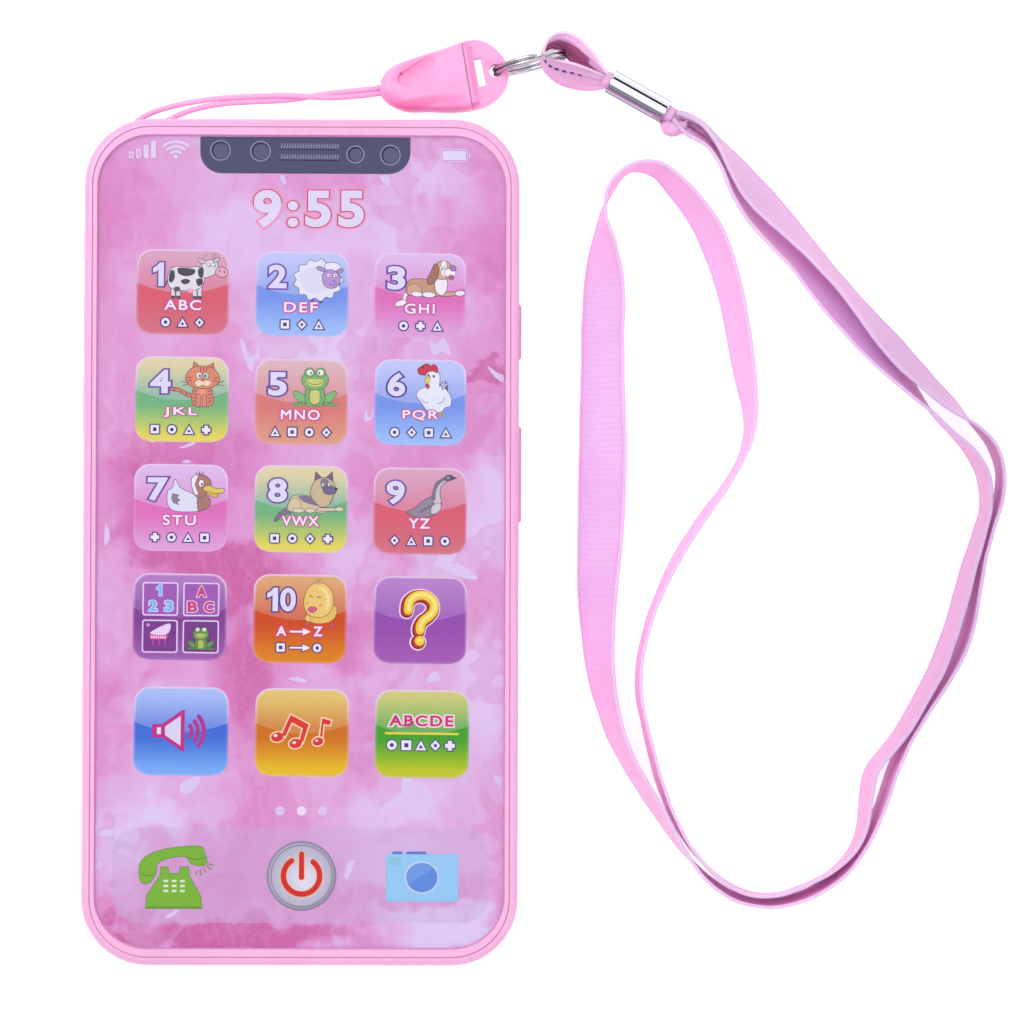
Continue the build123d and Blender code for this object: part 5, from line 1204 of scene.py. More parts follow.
# status marks
for i, hgt in enumerate((1.15, 1.6, 2.3, 3.0)):
    x = -29.75 + i * 1.27
    hud.RR(x, 65.65, x + 0.86, 65.65 + hgt, 0.1, (230, 216, 246))
    if i < 2:
        hud.RR(x + 0.25, 65.9, x + 0.62, 65.65 + hgt - 0.25, 0.05, (228, 168, 214))
wx, wy = -21.66, 65.75
for r in (1.25, 2.2, 3.1):
    hud.S([(wx + r * math.cos(math.radians(a)), wy - 0.1 + r * math.sin(math.radians(a)) * 0.92) for a in range(48, 133, 12)], 0.42, (232, 218, 246))
hud.P([(wx - 0.5, wy + 0.35), (wx, wy - 0.3), (wx + 0.5, wy + 0.35), (wx, wy + 0.6)], (232, 218, 246))
hud.RR(23.7, 65.15, 28.45, 67.5, 0.5, (232, 212, 244))
hud.RR(23.88, 65.33, 28.27, 67.32, 0.35, (206, 138, 204))
hud.RR(24.05, 65.5, 28.1, 67.15, 0.25, (230, 222, 248))
hud.RR(28.6, 65.95, 28.85, 66.65, 0.1, (232, 212, 244))
# clock: local y runs down for lettering
hud.z = INK0 + 0.030
hud.xf = lambda x, y: (x, -y)
hud.T("9:55", 1.15, -57.05, 6.5, (228, 222, 248), w=18.9, bold=0.036, o=((196, 70, 96), 0.17), o2=((240, 160, 200), 0.20))
hud.xf = lambda x, y: (x, y)
for x in (-3.37, 0.3, 3.89):
    hud.E(x, -46.1, 0.8, 0.8, (226, 202, 240) if x != 0.3 else (240, 226, 250))
# power disc
pcx, pcy = 0.35, -57.2
hud.z = INK0 + 0.012
for i in range(18):                          # shaded outer ring
    f = i / 17
    g = int(132 + 50 * f)
    hud.E(pcx - 0.10 * f, pcy + 0.12 * f, 5.95 - 0.62 * f, 5.95 - 0.62 * f, (g, g - 2, g + 14), n=48)
hud.E(pcx, pcy, 5.28, 5.28, (108, 106, 122), n=48)
for i in range(24):                          # silver face, lighter at lower right
    f = i / 23
    hud.E(pcx + 0.5 * f, pcy - 0.6 * f, 5.16 - 4.3 * f * 0.9, 5.16 - 4.3 * f * 0.9, (186 + int(42 * f), 184 + int(42 * f), 204 + int(36 * f)), n=44)
arc = [(pcx + 3.1 * math.cos(math.radians(a)), pcy + 3.1 * math.sin(math.radians(a))) for a in range(123, 418, 8)]
hud.S(arc, 1.16, (240, 196, 120), k=2)
hud.S(arc, 0.92, (214, 34, 38), k=2)
hud.S([(pcx, pcy + 3.75), (pcx, pcy - 0.25)], 1.12, (240, 196, 120))
hud.S([(pcx, pcy + 3.75), (pcx, pcy - 0.25)], 0.86, (214, 34, 38))
# telephone
GR, GD = (124, 186, 52), (72, 128, 44)
hud.z = INK0 + 0.012


def ph(*p):
    """Telephone drawn on a fine grid, 0.0383 mm a step."""
    return [(-27.55 + (x - 44) * 0.0383, -52.05 - (y - 826) * 0.0383) for x, y in p]


hud.P(ph((146, 922), (176, 922), (182, 952), (228, 952), (234, 922), (268, 922), (272, 962), (322, 1050), (328, 1106), (78, 1106), (84, 1046), (142, 960)), GR, o=(GD, 0.09))
hud.B(ph((96, 990), (62, 992), (50, 960), (52, 910), (84, 872), (150, 846), (240, 832), (318, 830), (336, 850), (350, 896), (336, 914), (284, 908), (262, 880), (226, 874), (160, 888), (128, 910), (122, 950)), GR, o=(GD, 0.09), k=4)
hud.S(ph((56, 950), (90, 962), (120, 948)), 0.12, GD)
hud.S(ph((262, 876), (300, 888), (346, 880)), 0.12, GD)
hud.S(ph((84, 1100), (322, 1100)), 0.14, GD)
for i in range(3):
    for j in range(3):
        (x, y), = ph((168 + 37 * i, 984 + 22 * j))
        hud.RR(x - 0.42, y - 0.2, x + 0.42, y + 0.2, 0.08, (226, 240, 206))
for a, b in (((306, 940), (302, 954)), ((322, 936), (322, 958)), ((338, 930), (346, 948)), ((350, 918), (368, 932)), ((356, 908), (378, 912))):
    hud.S(ph(a, b), 0.16, (92, 150, 60))
# camera
hud.z = INK0 + 0.012


def cm(*p):
    return [(14.76 + (x - 1148) * 0.0379, -53.0 - (y - 858) * 0.0379) for x, y in p]


(ax, ay), (bx, by) = cm((1148, 1084), (1474, 868))
hud.RR(ax, ay, bx, by, 0.45, (150, 196, 236))
hud.RR(ax + 0.14, ay + 0.14, bx - 0.14, by - 0.14, 0.36, (152, 208, 246))
for (p, q) in (((1176, 870), (1222, 858)), ((1240, 870), (1330, 858))):
    (ax, ay), (bx, by) = cm(p, q)
    hud.RR(ax, ay, bx, by, 0.15, (92, 128, 210))
(ax, ay), (bx, by) = cm((1160, 918), (1216, 884))
hud.RR(ax, ay, bx, by, 0.2, (138, 206, 226))
(lx, ly), = cm((1310, 975))
hud.E(lx, ly, 2.92, 2.76, (208, 218, 246), n=44)
hud.E(lx, ly, 2.68, 2.52, (110, 158, 228), n=44)
half = [(lx + 2.66 * math.cos(math.radians(a)), ly + 2.50 * math.sin(math.radians(a))) for a in range(-150, 41, 10)]
hud.prism(half, (92, 144, 222))
# pale flecks in the background print
hud.z = INK0 + 0.004
FLECKS = [
    [(-10.6, 34.6), (-9.7, 33.9), (-8.9, 31.6), (-7.9, 32.2), (-7.4, 33.4), (-7.2, 31.2), (-8.0, 30.9), (-8.6, 29.0), (-9.8, 31.4)],
    [(-26.0, 17.2), (-24.6, 17.7), (-25.3, 16.8)], [(-20.9, 16.0), (-19.6, 16.5), (-18.1, 17.1), (-18.4, 16.5), (-20.2, 15.9)],
    [(-20.4, 13.6), (-19.4, 13.9), (-18.9, 13.5), (-19.8, 13.3)],
    [(22.0, 34.4), (23.0, 33.8), (24.4, 35.0), (25.6, 32.0), (24.0, 32.6), (22.6, 32.0)],
    [(31.8, 30.2), (33.6, 29.0), (34.6, 28.6), (34.6, 27.4), (33.2, 28.2)], [(11.0, 22.6), (11.6, 21.2), (12.4, 22.8), (12.0, 21.0), (10.8, 20.6)],
    [(24.0, -2.4), (25.6, -3.6), (28.0, -4.2), (30.4, -6.4), (27.0, -6.0), (24.8, -4.8), (22.9, -4.2)],
    [(22.4, -22.6), (23.4, -22.2), (23.9, -23.7), (23.4, -23.9), (21.6, -24.0)],
    [(-20.2, -41.4), (-17.4, -40.2), (-17.3, -41.6), (-19.2, -43.3), (-20.4, -42.8)],
    [(17.6, -39.4), (18.8, -39.0), (18.9, -40.4), (20.4, -42.4), (19.2, -42.0), (18.0, -44.4), (14.4, -46.4), (15.4, -48.2), (13.6, -45.6), (17.2, -43.4)],
    [(8.2, -55.0), (9.4, -54.6), (8.3, -57.6), (7.7, -57.2)], [(-3.9, 62.6), (-3.2, 61.2), (-2.7, 61.6), (-3.2, 62.8)], [(13.2, 62.6), (14.6, 61.0), (15.1, 61.6), (14.6, 62.8)],
    [(-22.9, -64.2), (-21.0, -62.9), (-20.6, -63.3), (-22.2, -64.4)], [(-33.9, -49.5), (-30.6, -49.3), (-31.4, -50.2), (-34.0, -50.6)],
    [(32.3, -30.5), (34.0, -31.5), (33.4, -32.2), (32.0, -31.4)], [(33.0, -40.0), (34.4, -40.4), (34.3, -42.0)],
    [(-33.4, 3.0), (-32.6, 0.6), (-33.6, -0.8)], [(-2.0, -23.6), (0.6, -24.2), (1.2, -23.8), (-0.6, -23.2)]]
for fpts in FLECKS:
    hud.B(fpts, (224, 206, 242), k=3)
hud.build()


# ------------------------------------------------------------------ cord
def bez(p0, p1, p2, p3, n):
    out = []
    for i in range(n):
        t = i / n
        a, b, c, d = (1 - t) ** 3, 3 * t * (1 - t) ** 2, 3 * t * t * (1 - t), t ** 3
        out.append(tuple(a * p0[k] + b * p1[k] + c * p2[k] + d * p3[k] for k in range(3)))
    return out


def ah(p, d, k):
    return (p[0] + k * d[0], p[1] + k * d[1], p[2])


def tube(name, pts, rad, material, body, closed=False, seg=14, ripple=0.0, pitch=1.2, squash=1.0):
    """Round section swept along pts, with u along the length in mm and v round it."""
    pts = [Vector(p) for p in pts]
    n = len(pts)
    V, F, UV, L = [], [], [], 0.0
    up = Vector((0, 0, 1))
    for i, p in enumerate(pts):
        a, b = pts[max(i - 1, 0)], pts[min(i + 1, n - 1)]
        if closed:
            a, b = pts[i - 1], pts[(i + 1) % n]
        t = (b - a).normalized()
        side = t.cross(up)
        if side.length < 1e-6:
            side = Vector((1, 0, 0))
        side.normalize()
        w = side.cross(t)
        if i:
            L += (p - pts[i - 1]).length
        r = rad(i / (n - 1)) if callable(rad) else rad
        for j in range(seg):
            th = 2 * math.pi * j / seg
            rr = r * (1 + ripple * math.cos(2 * (th - 2 * math.pi * L / pitch)))
            V.append(tuple(p + side * (rr * math.cos(th)) + w * (rr * squash * math.sin(th))))
            UV.append((L, j / seg))
    m = n if closed else n - 1
    for i in range(m):
        for j in range(seg):
            a, b = i * seg + j, i * seg + (j + 1) % seg
            c, d = ((i + 1) % n) * seg + (j + 1) % seg, ((i + 1) % n) * seg + j
            F.append([a, d, c, b])
    if not closed:
        F.append(list(range(seg)))
        F.append(list(range((n - 1) * seg + seg - 1, (n - 1) * seg - 1, -1)))
    o = mesh_object(name, V, F, material, uvs=UV)
    bm = bmesh.new()
    bm.from_mesh(o.data)
    bmesh.ops.recalc_face_normals(bm, faces=bm.faces)
    bm.to_mesh(o.data)
    bm.free()
    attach(o, body)
    return o


EX, EY, CRL = -28.0, 71.2, 1.75


def pol(a):
    return (EX + CRL * math.cos(math.radians(a)), EY + CRL * math.sin(math.radians(a)), SZ)


# two flat strands side by side that make half a turn on the way to the clip
ca = (math.cos(math.radians(9.7)), math.sin(math.radians(9.7)))
c60, run = (0.5, math.sqrt(3) / 2), (0.9985, 0.055)
MM_, SE = (-11.5, 76.7, SZ), (13.3 + 3.4 * ca[0], 78.4 + 3.4 * ca[1], SZ)
mid_run = bez(MM_, ah(MM_, run, 11.0), ah(SE, ca, -10.0), SE, 64) + [SE]
HALF = 0.47


def strand(sign):
    out = []
    for i, p in enumerate(mid_run):
        a, b = mid_run[max(i - 1, 0)], mid_run[min(i + 1, len(mid_run) - 1)]
        L = math.hypot(b[0] - a[0], b[1] - a[1])
        nx, ny = -(b[1] - a[1]) / L, (b[0] - a[0]) / L
        f = i / (len(mid_run) - 1)
        k = min(1.0, max(0.0, (f - 0.10) / 0.62))
        phi = math.pi * k * k * (3 - 2 * k)
        out.append((p[0] + nx * HALF * sign * math.cos(phi), p[1] + ny * HALF * sign * math.cos(phi), p[2] + 0.42 * sign * math.sin(phi)))
    return out


up_run, low_run = strand(1), strand(-1)
upper = bez(pol(150), ah(pol(150), c60, 3.6), ah(up_run[0], run, -6.5), up_run[0], 46) + up_run
lower = bez(pol(330), ah(pol(330), c60, 3.2), ah(low_run[0], run, -8.0), low_run[0], 46) + low_run
turn = [pol(150 + 180 * i / 24) for i in range(1, 24)]
whole = upper[::-1] + turn + lower
cord = tube("strap_cord_twisted", whole, 0.49, M_CORD, "strap", seg=16, ripple=0.03, pitch=1.8, squash=0.86)
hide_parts("strap_cord")

# ------------------------------------------------------------------ split ring: two close coils of flat wire
ra = math.radians(14.5)
rcx, rcy = 39.15, 83.34
ex, ez = Vector((math.cos(ra), math.sin(ra), 0)), Vector((0, 0, 1))
ax = Vector((math.sin(ra), -math.cos(ra), 0))
cen = Vector((rcx, rcy, SZ))
V, F = [], []
TURNS, STEPS, SEGS = 1.96, 360, 24
HW, HR = 0.375, 0.46                         # half width along the axis, half radial thickness
for i in range(STEPS + 1):
    t = i / STEPS
    ang = 2 * math.pi * TURNS * t + math.radians(78)
    # each coil sits flat beside the other and steps over in a short kink
    pos = t * TURNS
    k = min(1.0, max(0.0, (pos - 0.90) / 0.14))
    off = -0.385 + 0.77 * (k * k * (3 - 2 * k))
    rad = 6.15
    radial = ex * math.cos(ang) + ez * math.sin(ang)
    end = min(1.0, min(t, 1 - t) * 60 + 0.35)
    for j in range(SEGS):
        th = 2 * math.pi * (j + 0.5) / SEGS
        cx_ = math.cos(th) * HR * end
        cy_ = math.sin(th) * HW * end
        V.append(tuple(cen + radial * (rad + cx_) + ax * (off + cy_)))
for i in range(STEPS):
    for j in range(SEGS):
        a, b = i * SEGS + j, i * SEGS + (j + 1) % SEGS
        F.append([a, b, b + SEGS, a + SEGS])
F.append(list(range(SEGS - 1, -1, -1)))
F.append(list(range(STEPS * SEGS, STEPS * SEGS + SEGS)))
coil = mesh_object("split_ring_coils", V, F, M_RING)
bm = bmesh.new()
bm.from_mesh(coil.data)
bmesh.ops.recalc_face_normals(bm, faces=bm.faces)
bm.to_mesh(coil.data)
bm.free()
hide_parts("split_ring")
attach(coil, "ring")

# ------------------------------------------------------------------ neck ribbon
RIB = [
    (66.4, 72.0, -2.8), (70.6, 69.2, -2.2), (73.4, 65.1, -2.5), (75.8, 60.6, -3.5), (78.7, 56.6, -4.1), (82.3, 53.0, -4.4),
    (86.0, 49.6, -4.9), (89.4, 45.9, -5.7), (92.8, 42.1, -6.2), (96.1, 38.3, -6.1), (99.3, 34.5, -5.5), (102.6, 30.6, -4.3),
    (105.8, 26.9, -2.8), (109.1, 23.1, -1.0), (112.6, 19.5, -0.5), (116.2, 15.8, 0.5), (118.3, 11.4, 0.9), (118.6, 6.4, 0.7),
    (117.4, 1.5, 0.9), (115.9, -3.4, 1.3), (114.6, -8.2, 1.5), (113.2, -13.1, 1.5), (111.6, -17.8, 1.6), (109.7, -22.5, 1.7),
    (107.3, -26.9, 1.6), (104.8, -31.3, 1.5), (101.9, -35.3, 1.2), (98.8, -39.3, 1.1), (97.8, -44.2, 1.1), (97.2, -49.2, 0.7),
    (95.1, -53.6, -0.0), (91.5, -57.0, -0.6), (86.9, -59.3, -0.6), (82.0, -60.9, -0.2), (77.2, -60.5, 0.2), (72.9, -58.3, 0.3),
    (69.1, -54.7, 0.1), (66.1, -50.6, -0.2), (63.8, -46.1, -0.4), (62.1, -41.5, -0.6), (60.7, -36.6, -0.6), (59.5, -31.7, -0.5),
    (58.5, -26.8, -0.4), (58.4, -21.8, -0.3), (59.3, -16.8, -0.3), (60.7, -11.9, -0.4), (62.6, -7.3, -0.6), (64.8, -2.8, -0.8),
    (67.4, 1.5, -0.8), (70.3, 5.7, -0.8), (73.3, 9.9, -0.6), (75.8, 14.2, -0.5), (77.4, 18.8, -0.9), (77.6, 23.8, -1.8),
    (76.8, 29.0, -2.8), (76.0, 34.0, -3.3), (75.2, 38.8, -3.3), (74.2, 43.7, -3.4), (72.8, 48.6, -3.7), (71.0, 53.3, -3.9),
    (68.5, 57.6, -3.4), (65.3, 61.5, -2.8), (61.5, 65.0, -1.7), (56.8, 65.4, -0.4), (53.3, 61.7, -0.9), (52.0, 57.0, 0.6),
    (52.1, 52.0, 3.9), (52.2, 46.9, 6.2), (52.2, 41.9, 7.0), (52.0, 36.8, 7.1), (52.0, 31.8, 7.2), (52.0, 26.8, 7.4),
    (52.0, 21.7, 7.7), (52.1, 16.7, 7.9), (52.0, 11.7, 8.0), (51.9, 6.6, 7.9), (51.7, 1.6, 7.6), (51.4, -3.5, 7.1),
    (51.2, -8.5, 6.5), (51.2, -13.5, 5.7), (51.4, -18.5, 4.9), (51.9, -23.5, 4.1), (53.0, -28.5, 3.2), (54.5, -33.3, 2.6),
    (56.6, -37.8, 2.1), (59.2, -42.2, 1.9), (61.9, -46.5, 1.5), (64.5, -50.7, 0.8), (67.4, -54.8, -0.1), (70.9, -58.5, -0.7),
    (75.2, -61.2, -0.9), (80.1, -62.3, -0.9), (85.0, -61.7, -0.9), (89.6, -59.8, -0.9), (93.6, -56.9, -0.9), (96.8, -52.9, -0.9),
    (99.2, -48.3, -0.9), (101.0, -43.6, -0.9), (102.6, -38.9, -0.9), (104.6, -34.4, -0.9), (107.2, -30.1, -0.9), (110.0, -25.8, -0.9),
    (112.7, -21.5, -0.9), (114.8, -17.0, -0.9), (116.1, -12.2, -0.9), (116.9, -7.2, -1.0), (117.8, -2.2, -0.9), (119.3, 2.8, -0.6),
    (120.8, 7.7, -0.4), (121.2, 12.5, -0.25), (119.7, 17.3, -0.2), (116.3, 21.1, 0.8), (112.5, 24.5, 3.0), (108.9, 27.9, 3.7),
    (105.3, 31.5, 4.4), (101.9, 35.2, 4.5), (98.6, 39.0, 3.8), (95.4, 42.9, 3.2), (92.1, 46.7, 3.0), (88.7, 50.5, 3.4),
    (85.3, 54.1, 4.2), (81.8, 57.7, 5.1), (78.3, 61.4, 5.4), (75.3, 65.4, 4.2), (72.3, 69.5, 2.5), (68.8, 73.0, 1.7)]
FA, FB = Vector((53.15, 80.25, SZ)), Vector((62.85, 74.85, SZ))
fd = (FB - FA).normalized()
fn = Vector((-fd.y, fd.x, 0))
stations = [(64.1, 73.75, -0.2)] + RIB + [(64.5, 74.5, 0.2)]


def cat(seq, t):
    """Catmull-Rom through seq at parameter t."""
    n = len(seq)
    i = min(int(t), n - 2)
    f = t - i
    p0, p1, p2, p3 = seq[max(i - 1, 0)], seq[i], seq[i + 1], seq[min(i + 2, n - 1)]
    return tuple(0.5 * (2 * p1[a] + (p2[a] - p0[a]) * f + (2 * p0[a] - 5 * p1[a] + 4 * p2[a] - p3[a]) * f * f
                        + (3 * p1[a] - p0[a] - 3 * p2[a] + p3[a]) * f ** 3) for a in range(len(p1)))


PER = 7
samples = [cat(stations, i / PER) for i in range((len(stations) - 1) * PER + 1)]
NS = len(samples)
# cross section: (position across, half thickness) with thicker selvedges
PROF = [(-0.5, 0.16), (-0.488, 0.30), (-0.465, 0.33), (-0.44, 0.22), (-0.40, 0.20), (-0.24, 0.20), (-0.08, 0.20), (0.08, 0.20),
        (0.24, 0.20), (0.40, 0.20), (0.44, 0.22), (0.465, 0.33), (0.488, 0.30), (0.5, 0.16)]
# running arc length
arcl = [0.0]
for a, b in zip(samples, samples[1:]):
    arcl.append(arcl[-1] + math.hypot(b[0] - a[0], b[1] - a[1]))
total_len = arcl[-1]


def wobble(s, k):
    return (math.sin(s * 0.113 + k * 1.7) + 0.6 * math.sin(s * 0.271 + k * 3.1) + 0.35 * math.sin(s * 0.533 + k * 0.9)) / 1.95


V, F, UV = [], [], []
NP = len(PROF)
for i, (x, y, w) in enumerate(samples):
    a, b = samples[max(i - 1, 0)], samples[min(i + 1, NS - 1)]
    tx, ty = b[0] - a[0], b[1] - a[1]
    L = math.hypot(tx, ty)
    tx, ty = tx / L, ty / L
    kk = min(i, NS - 1 - i) / PER * (5.0 / 7.5)      # in the CAD ribbon's station steps
    steps = [(0, 3.0), (1, 7.5), (2, 9.4), (3, 10.0)]
    h = 10.0
    for (p, q), (r, t_) in zip(steps, steps[1:]):
        if p <= kk <= r:
            h = q + (t_ - q) * (kk - p) / (r - p)
    lean = max(-0.95, min(0.95, w / 10.0 + 0.006 * wobble(arcl[i], 1)))
    rise = math.sqrt(1 - lean * lean)
    u = Vector((-ty * lean, tx * lean, rise))
    lat = Vector((-ty * rise, tx * rise, -lean))     # across the ribbon's thickness
    k = min(1.0, kk / 7)
    lift = 1 - k * k * (3 - 2 * k)
    z = lift * SZ + (1 - lift) * (0.05 + rise * h / 2 + abs(lean) * 0.35)
    c = Vector((x, y, z))
    gather = max(0.0, 1 - kk / 1.6)                  # folds where it is drawn into the tube
    ring_f, ring_b = [], []
    for p, ht in PROF:
        s = arcl[i]
        wav = 0.09 * wobble(s + 40 * p, 5) * (1 - gather) + 0.03 * math.sin(s * 0.9 + p * 6) * (0.25 + abs(p))
        wav *= min(1.0, kk / 1.5)
        fold = gather * 0.95 * math.sin(p * 4 * math.pi) * min(1.0, kk * 3 + 0.35)
        mid = c + u * (p * h) + lat * (wav + fold)
        tk = ht * (1 - 0.25 * gather)
        ring_f.append(mid + lat * tk)
        ring_b.append(mid - lat * tk)
    V += [tuple(q) for q in ring_f] + [tuple(q) for q in reversed(ring_b)]
    UV += [(arcl[i], p + 0.5) for p, _ in PROF] + [(arcl[i], p + 0.5) for p, _ in reversed(PROF)]
RN = 2 * NP
for i in range(NS - 1):
    for j in range(RN):
        a, b = i * RN + j, i * RN + (j + 1) % RN
        F.append([a, b, b + RN, a + RN])
F.append(list(range(RN - 1, -1, -1)))
F.append(list(range((NS - 1) * RN, NS * RN)))
V = [(x, y, max(z, 0.02)) for x, y, z in V]
band = mesh_object("ribbon_band", V, F, M_RIB, uvs=UV)
bm = bmesh.new()
bm.from_mesh(band.data)
bmesh.ops.recalc_face_normals(bm, faces=bm.faces)
bm.to_mesh(band.data)
bm.free()
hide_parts("neck_ribbon")
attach(band, "ribbon")

# the rolled chrome tube: lapped seam underneath, rolled lips, two shallow crimps
V, F = [], []
flen = (FB - FA).length
FS = 96
path = [(0.0, 1.70), (0.0, 1.86), (0.04, 2.0), (0.14, 2.09), (0.30, 2.10)]
path += [(0.30 + (flen - 0.6) * q / 30, 2.10) for q in range(1, 30)]
path += [(flen - 0.30, 2.10), (flen - 0.14, 2.09), (flen - 0.04, 2.0), (flen, 1.86), (flen, 1.70), (flen * 0.5, 1.70)]
for s, r in path:
    for j in range(FS):
        th = 2 * math.pi * j / FS
        rr = r
        if r > 1.9:
            seam = math.exp(-((((math.degrees(th) - 238 + 180) % 360) - 180) / 4.0) ** 2)
            crimp = math.exp(-((s - 1.5) / 0.5) ** 2) + math.exp(-((s - flen + 1.5) / 0.5) ** 2)
            side_w = math.exp(-((((math.degrees(th) - 215 + 180) % 360) - 180) / 26.0) ** 2)
            rr -= 0.05 * seam + 0.06 * crimp * side_w
        pnt = FA + fd * s + fn * (rr * math.cos(th)) + Vector((0, 0, 1)) * (rr * math.sin(th))
        V.append(tuple(pnt))
NPATH = len(path)
for i in range(NPATH):
    k2 = (i + 1) % NPATH
    for j in range(FS):
        F.append([i * FS + j, i * FS + (j + 1) % FS, k2 * FS + (j + 1) % FS, k2 * FS + j])
fer = mesh_object("ferrule_tube", V, F, M_CHROME)
bm = bmesh.new()
bm.from_mesh(fer.data)
bmesh.ops.recalc_face_normals(bm, faces=bm.faces)
bm.to_mesh(fer.data)
bm.free()
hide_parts("ferrule")
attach(fer, "ribbon")

# the bundle of folds inside the chrome tube and bulging out at both of its ends
pts = [FA - fd * 1.5 + (FB - FA + fd * 3.4) * (i / 60) for i in range(61)]


def bundle(t):
    e = min(t, 1 - t) * 61 / 60
    return 1.60 * min(1.0, 0.55 + e * 9)


core = tube("ribbon_bundle", [tuple(p) for p in pts], bundle, M_LOOP, "ribbon", seg=28, ripple=0.0)
for v_i, v in enumerate(core.data.vertices):
    th = (v_i % 28) / 28 * 2 * math.pi
    pz = Vector(v.co) / MM
    tpos = (pz - FA).dot(fd)
    axp = FA + fd * tpos
    rad_v = pz - axp
    rad_v *= 1 - 0.10 * abs(math.sin(th * 2.5 + 0.4))
    v.co = (axp + rad_v) * MM

# small end loop: a strip standing on edge round the split ring, gathered into the tube at both ends
TOP = [(53.3, 80.75), (51.0, 83.45), (48.75, 85.96), (47.08, 87.48), (45.16, 88.15), (43.23, 87.72), (41.85, 86.48), (41.5, 84.89),
       (42.93, 83.75), (45.45, 83.16), (47.65, 82.75), (49.84, 82.0), (52.6, 80.75)]
BOT = [(53.1, 80.15), (50.9, 81.2), (49.1, 81.9), (47.4, 83.0), (45.9, 84.65), (44.2, 86.35), (42.4, 86.25), (41.22, 84.67),
       (42.02, 82.12), (43.98, 80.59), (47.32, 79.49), (50.09, 78.96), (52.7, 79.35)]
LN = 12
NL = (len(TOP) - 1) * LN + 1
LPROF = [(-0.5, 0.13), (-0.485, 0.27), (-0.46, 0.30), (-0.43, 0.19)] + [(-0.40 + 0.05 * q, 0.17) for q in range(17)] + [(0.43, 0.19), (0.46, 0.30), (0.485, 0.27), (0.5, 0.13)]
NLP = len(LPROF)
V, F, UV, L, MI = [], [], [], 0.0, []
MARKS = []
prev = None
for i in range(NL):
    tx_, ty_ = cat(TOP, i / LN)
    bx_, by_ = cat(BOT, i / LN)
    e = min(i, NL - 1 - i) / LN
    g = min(1.0, e / 2.4)
    g = g * g * (3 - 2 * g)
    tp = Vector((tx_, ty_, SZ + 1.15 + 2.45 * g))
    bt = Vector((bx_, by_, SZ - 1.15 - 2.45 * g))
    j0, j1 = max(i - 1, 0), min(i + 1, NL - 1)
    c0 = (Vector((*cat(TOP, j0 / LN), 0)) + Vector((*cat(BOT, j0 / LN), 0))) / 2
    c1 = (Vector((*cat(TOP, j1 / LN), 0)) + Vector((*cat(BOT, j1 / LN), 0))) / 2
    t = (c1 - c0).normalized()
    across = tp - bt
    lat = across.cross(t).normalized()               # points to the inside of the loop
    mid0 = (tp + bt) / 2
    if prev is not None:
        L += (mid0 - prev).length
    prev = mid0
    far = max(0.0, min(1.0, (0.52 - i / NL) / 0.08))
    gath = 1 - min(1.0, e / 4.5)
    rf, rb = [], []
    for p, ht in LPROF:
        # folds run along the strip: deep where it is gathered, one soft roll under the upper edge
        pleat = (0.10 + 0.34 * gath) * math.sin(p * 19 + 0.9 * math.sin(L * 0.35)) * min(1.0, e * 2 + 0.3)
        roll = 0.42 * far * g * math.exp(-((p - 0.30) / 0.10) ** 2) - 0.30 * far * g * math.exp(-((p - 0.44) / 0.07) ** 2)
        wav = 0.07 * math.sin(L * 0.9 + p * 4)
        mid = mid0 + across * p + lat * ((pleat + wav) * (0.4 + 0.6 * g) + roll)
        rf.append(mid + lat * ht)
        rb.append(mid - lat * ht)
    V += [tuple(q) for q in rf] + [tuple(q) for q in reversed(rb)]
    UV += [(L, p + 0.5) for p, _ in LPROF] + [(L, p + 0.5) for p, _ in reversed(LPROF)]
    MARKS.append((L, rb, lat))
RL = 2 * NLP
# painted shade: the inner faces of the loop, below a set fraction across the strip, take the darker inside material
for i in range(NL - 1):
    shade_to = 0.20 if i < NL * 0.52 else 0.44
    if i < 1.6 * LN:
        shade_to = -0.10
    for j in range(RL):
        a, b = i * RL + j, i * RL + (j + 1) % RL
        F.append([a, b, b + RL, a + RL])
        MI.append(1 if j < NLP - 1 and LPROF[j][0] < shade_to and i < NL - 1.2 * LN else 0)
F.append(list(range(RL - 1, -1, -1)))
F.append(list(range((NL - 1) * RL, NL * RL)))
MI += [0, 0]
loop_o = mesh_object("ribbon_end_loop", V, F, M_LOOP, uvs=UV)
loop_o.data.materials.append(M_LOOP_INSIDE_SHADE)
loop_o.data.polygons.foreach_set("material_index", MI)
bm = bmesh.new()
bm.from_mesh(loop_o.data)
bmesh.ops.recalc_face_normals(bm, faces=bm.faces)
bm.to_mesh(loop_o.data)
bm.free()
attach(loop_o, "ribbon")

# a plain row of short navy dashes printed on the outer face of the loop
V, F = [], []


def outer(s, p):
    """Point on the loop's outer face at path sample s and height fraction p."""
    i = max(0, min(NL - 2, int(s)))
    f = s - i
    ps = [q for q, _ in LPROF]
    k = max(0, min(NLP - 2, sum(1 for q in ps if q <= p) - 1))
    g = (p - ps[k]) / (ps[k + 1] - ps[k])
    pt = [MARKS[i + d][1][k + c] for d in (0, 1) for c in (0, 1)]
    q = (pt[0] * (1 - g) + pt[1] * g) * (1 - f) + (pt[2] * (1 - g) + pt[3] * g) * f
    return q, MARKS[i][2]


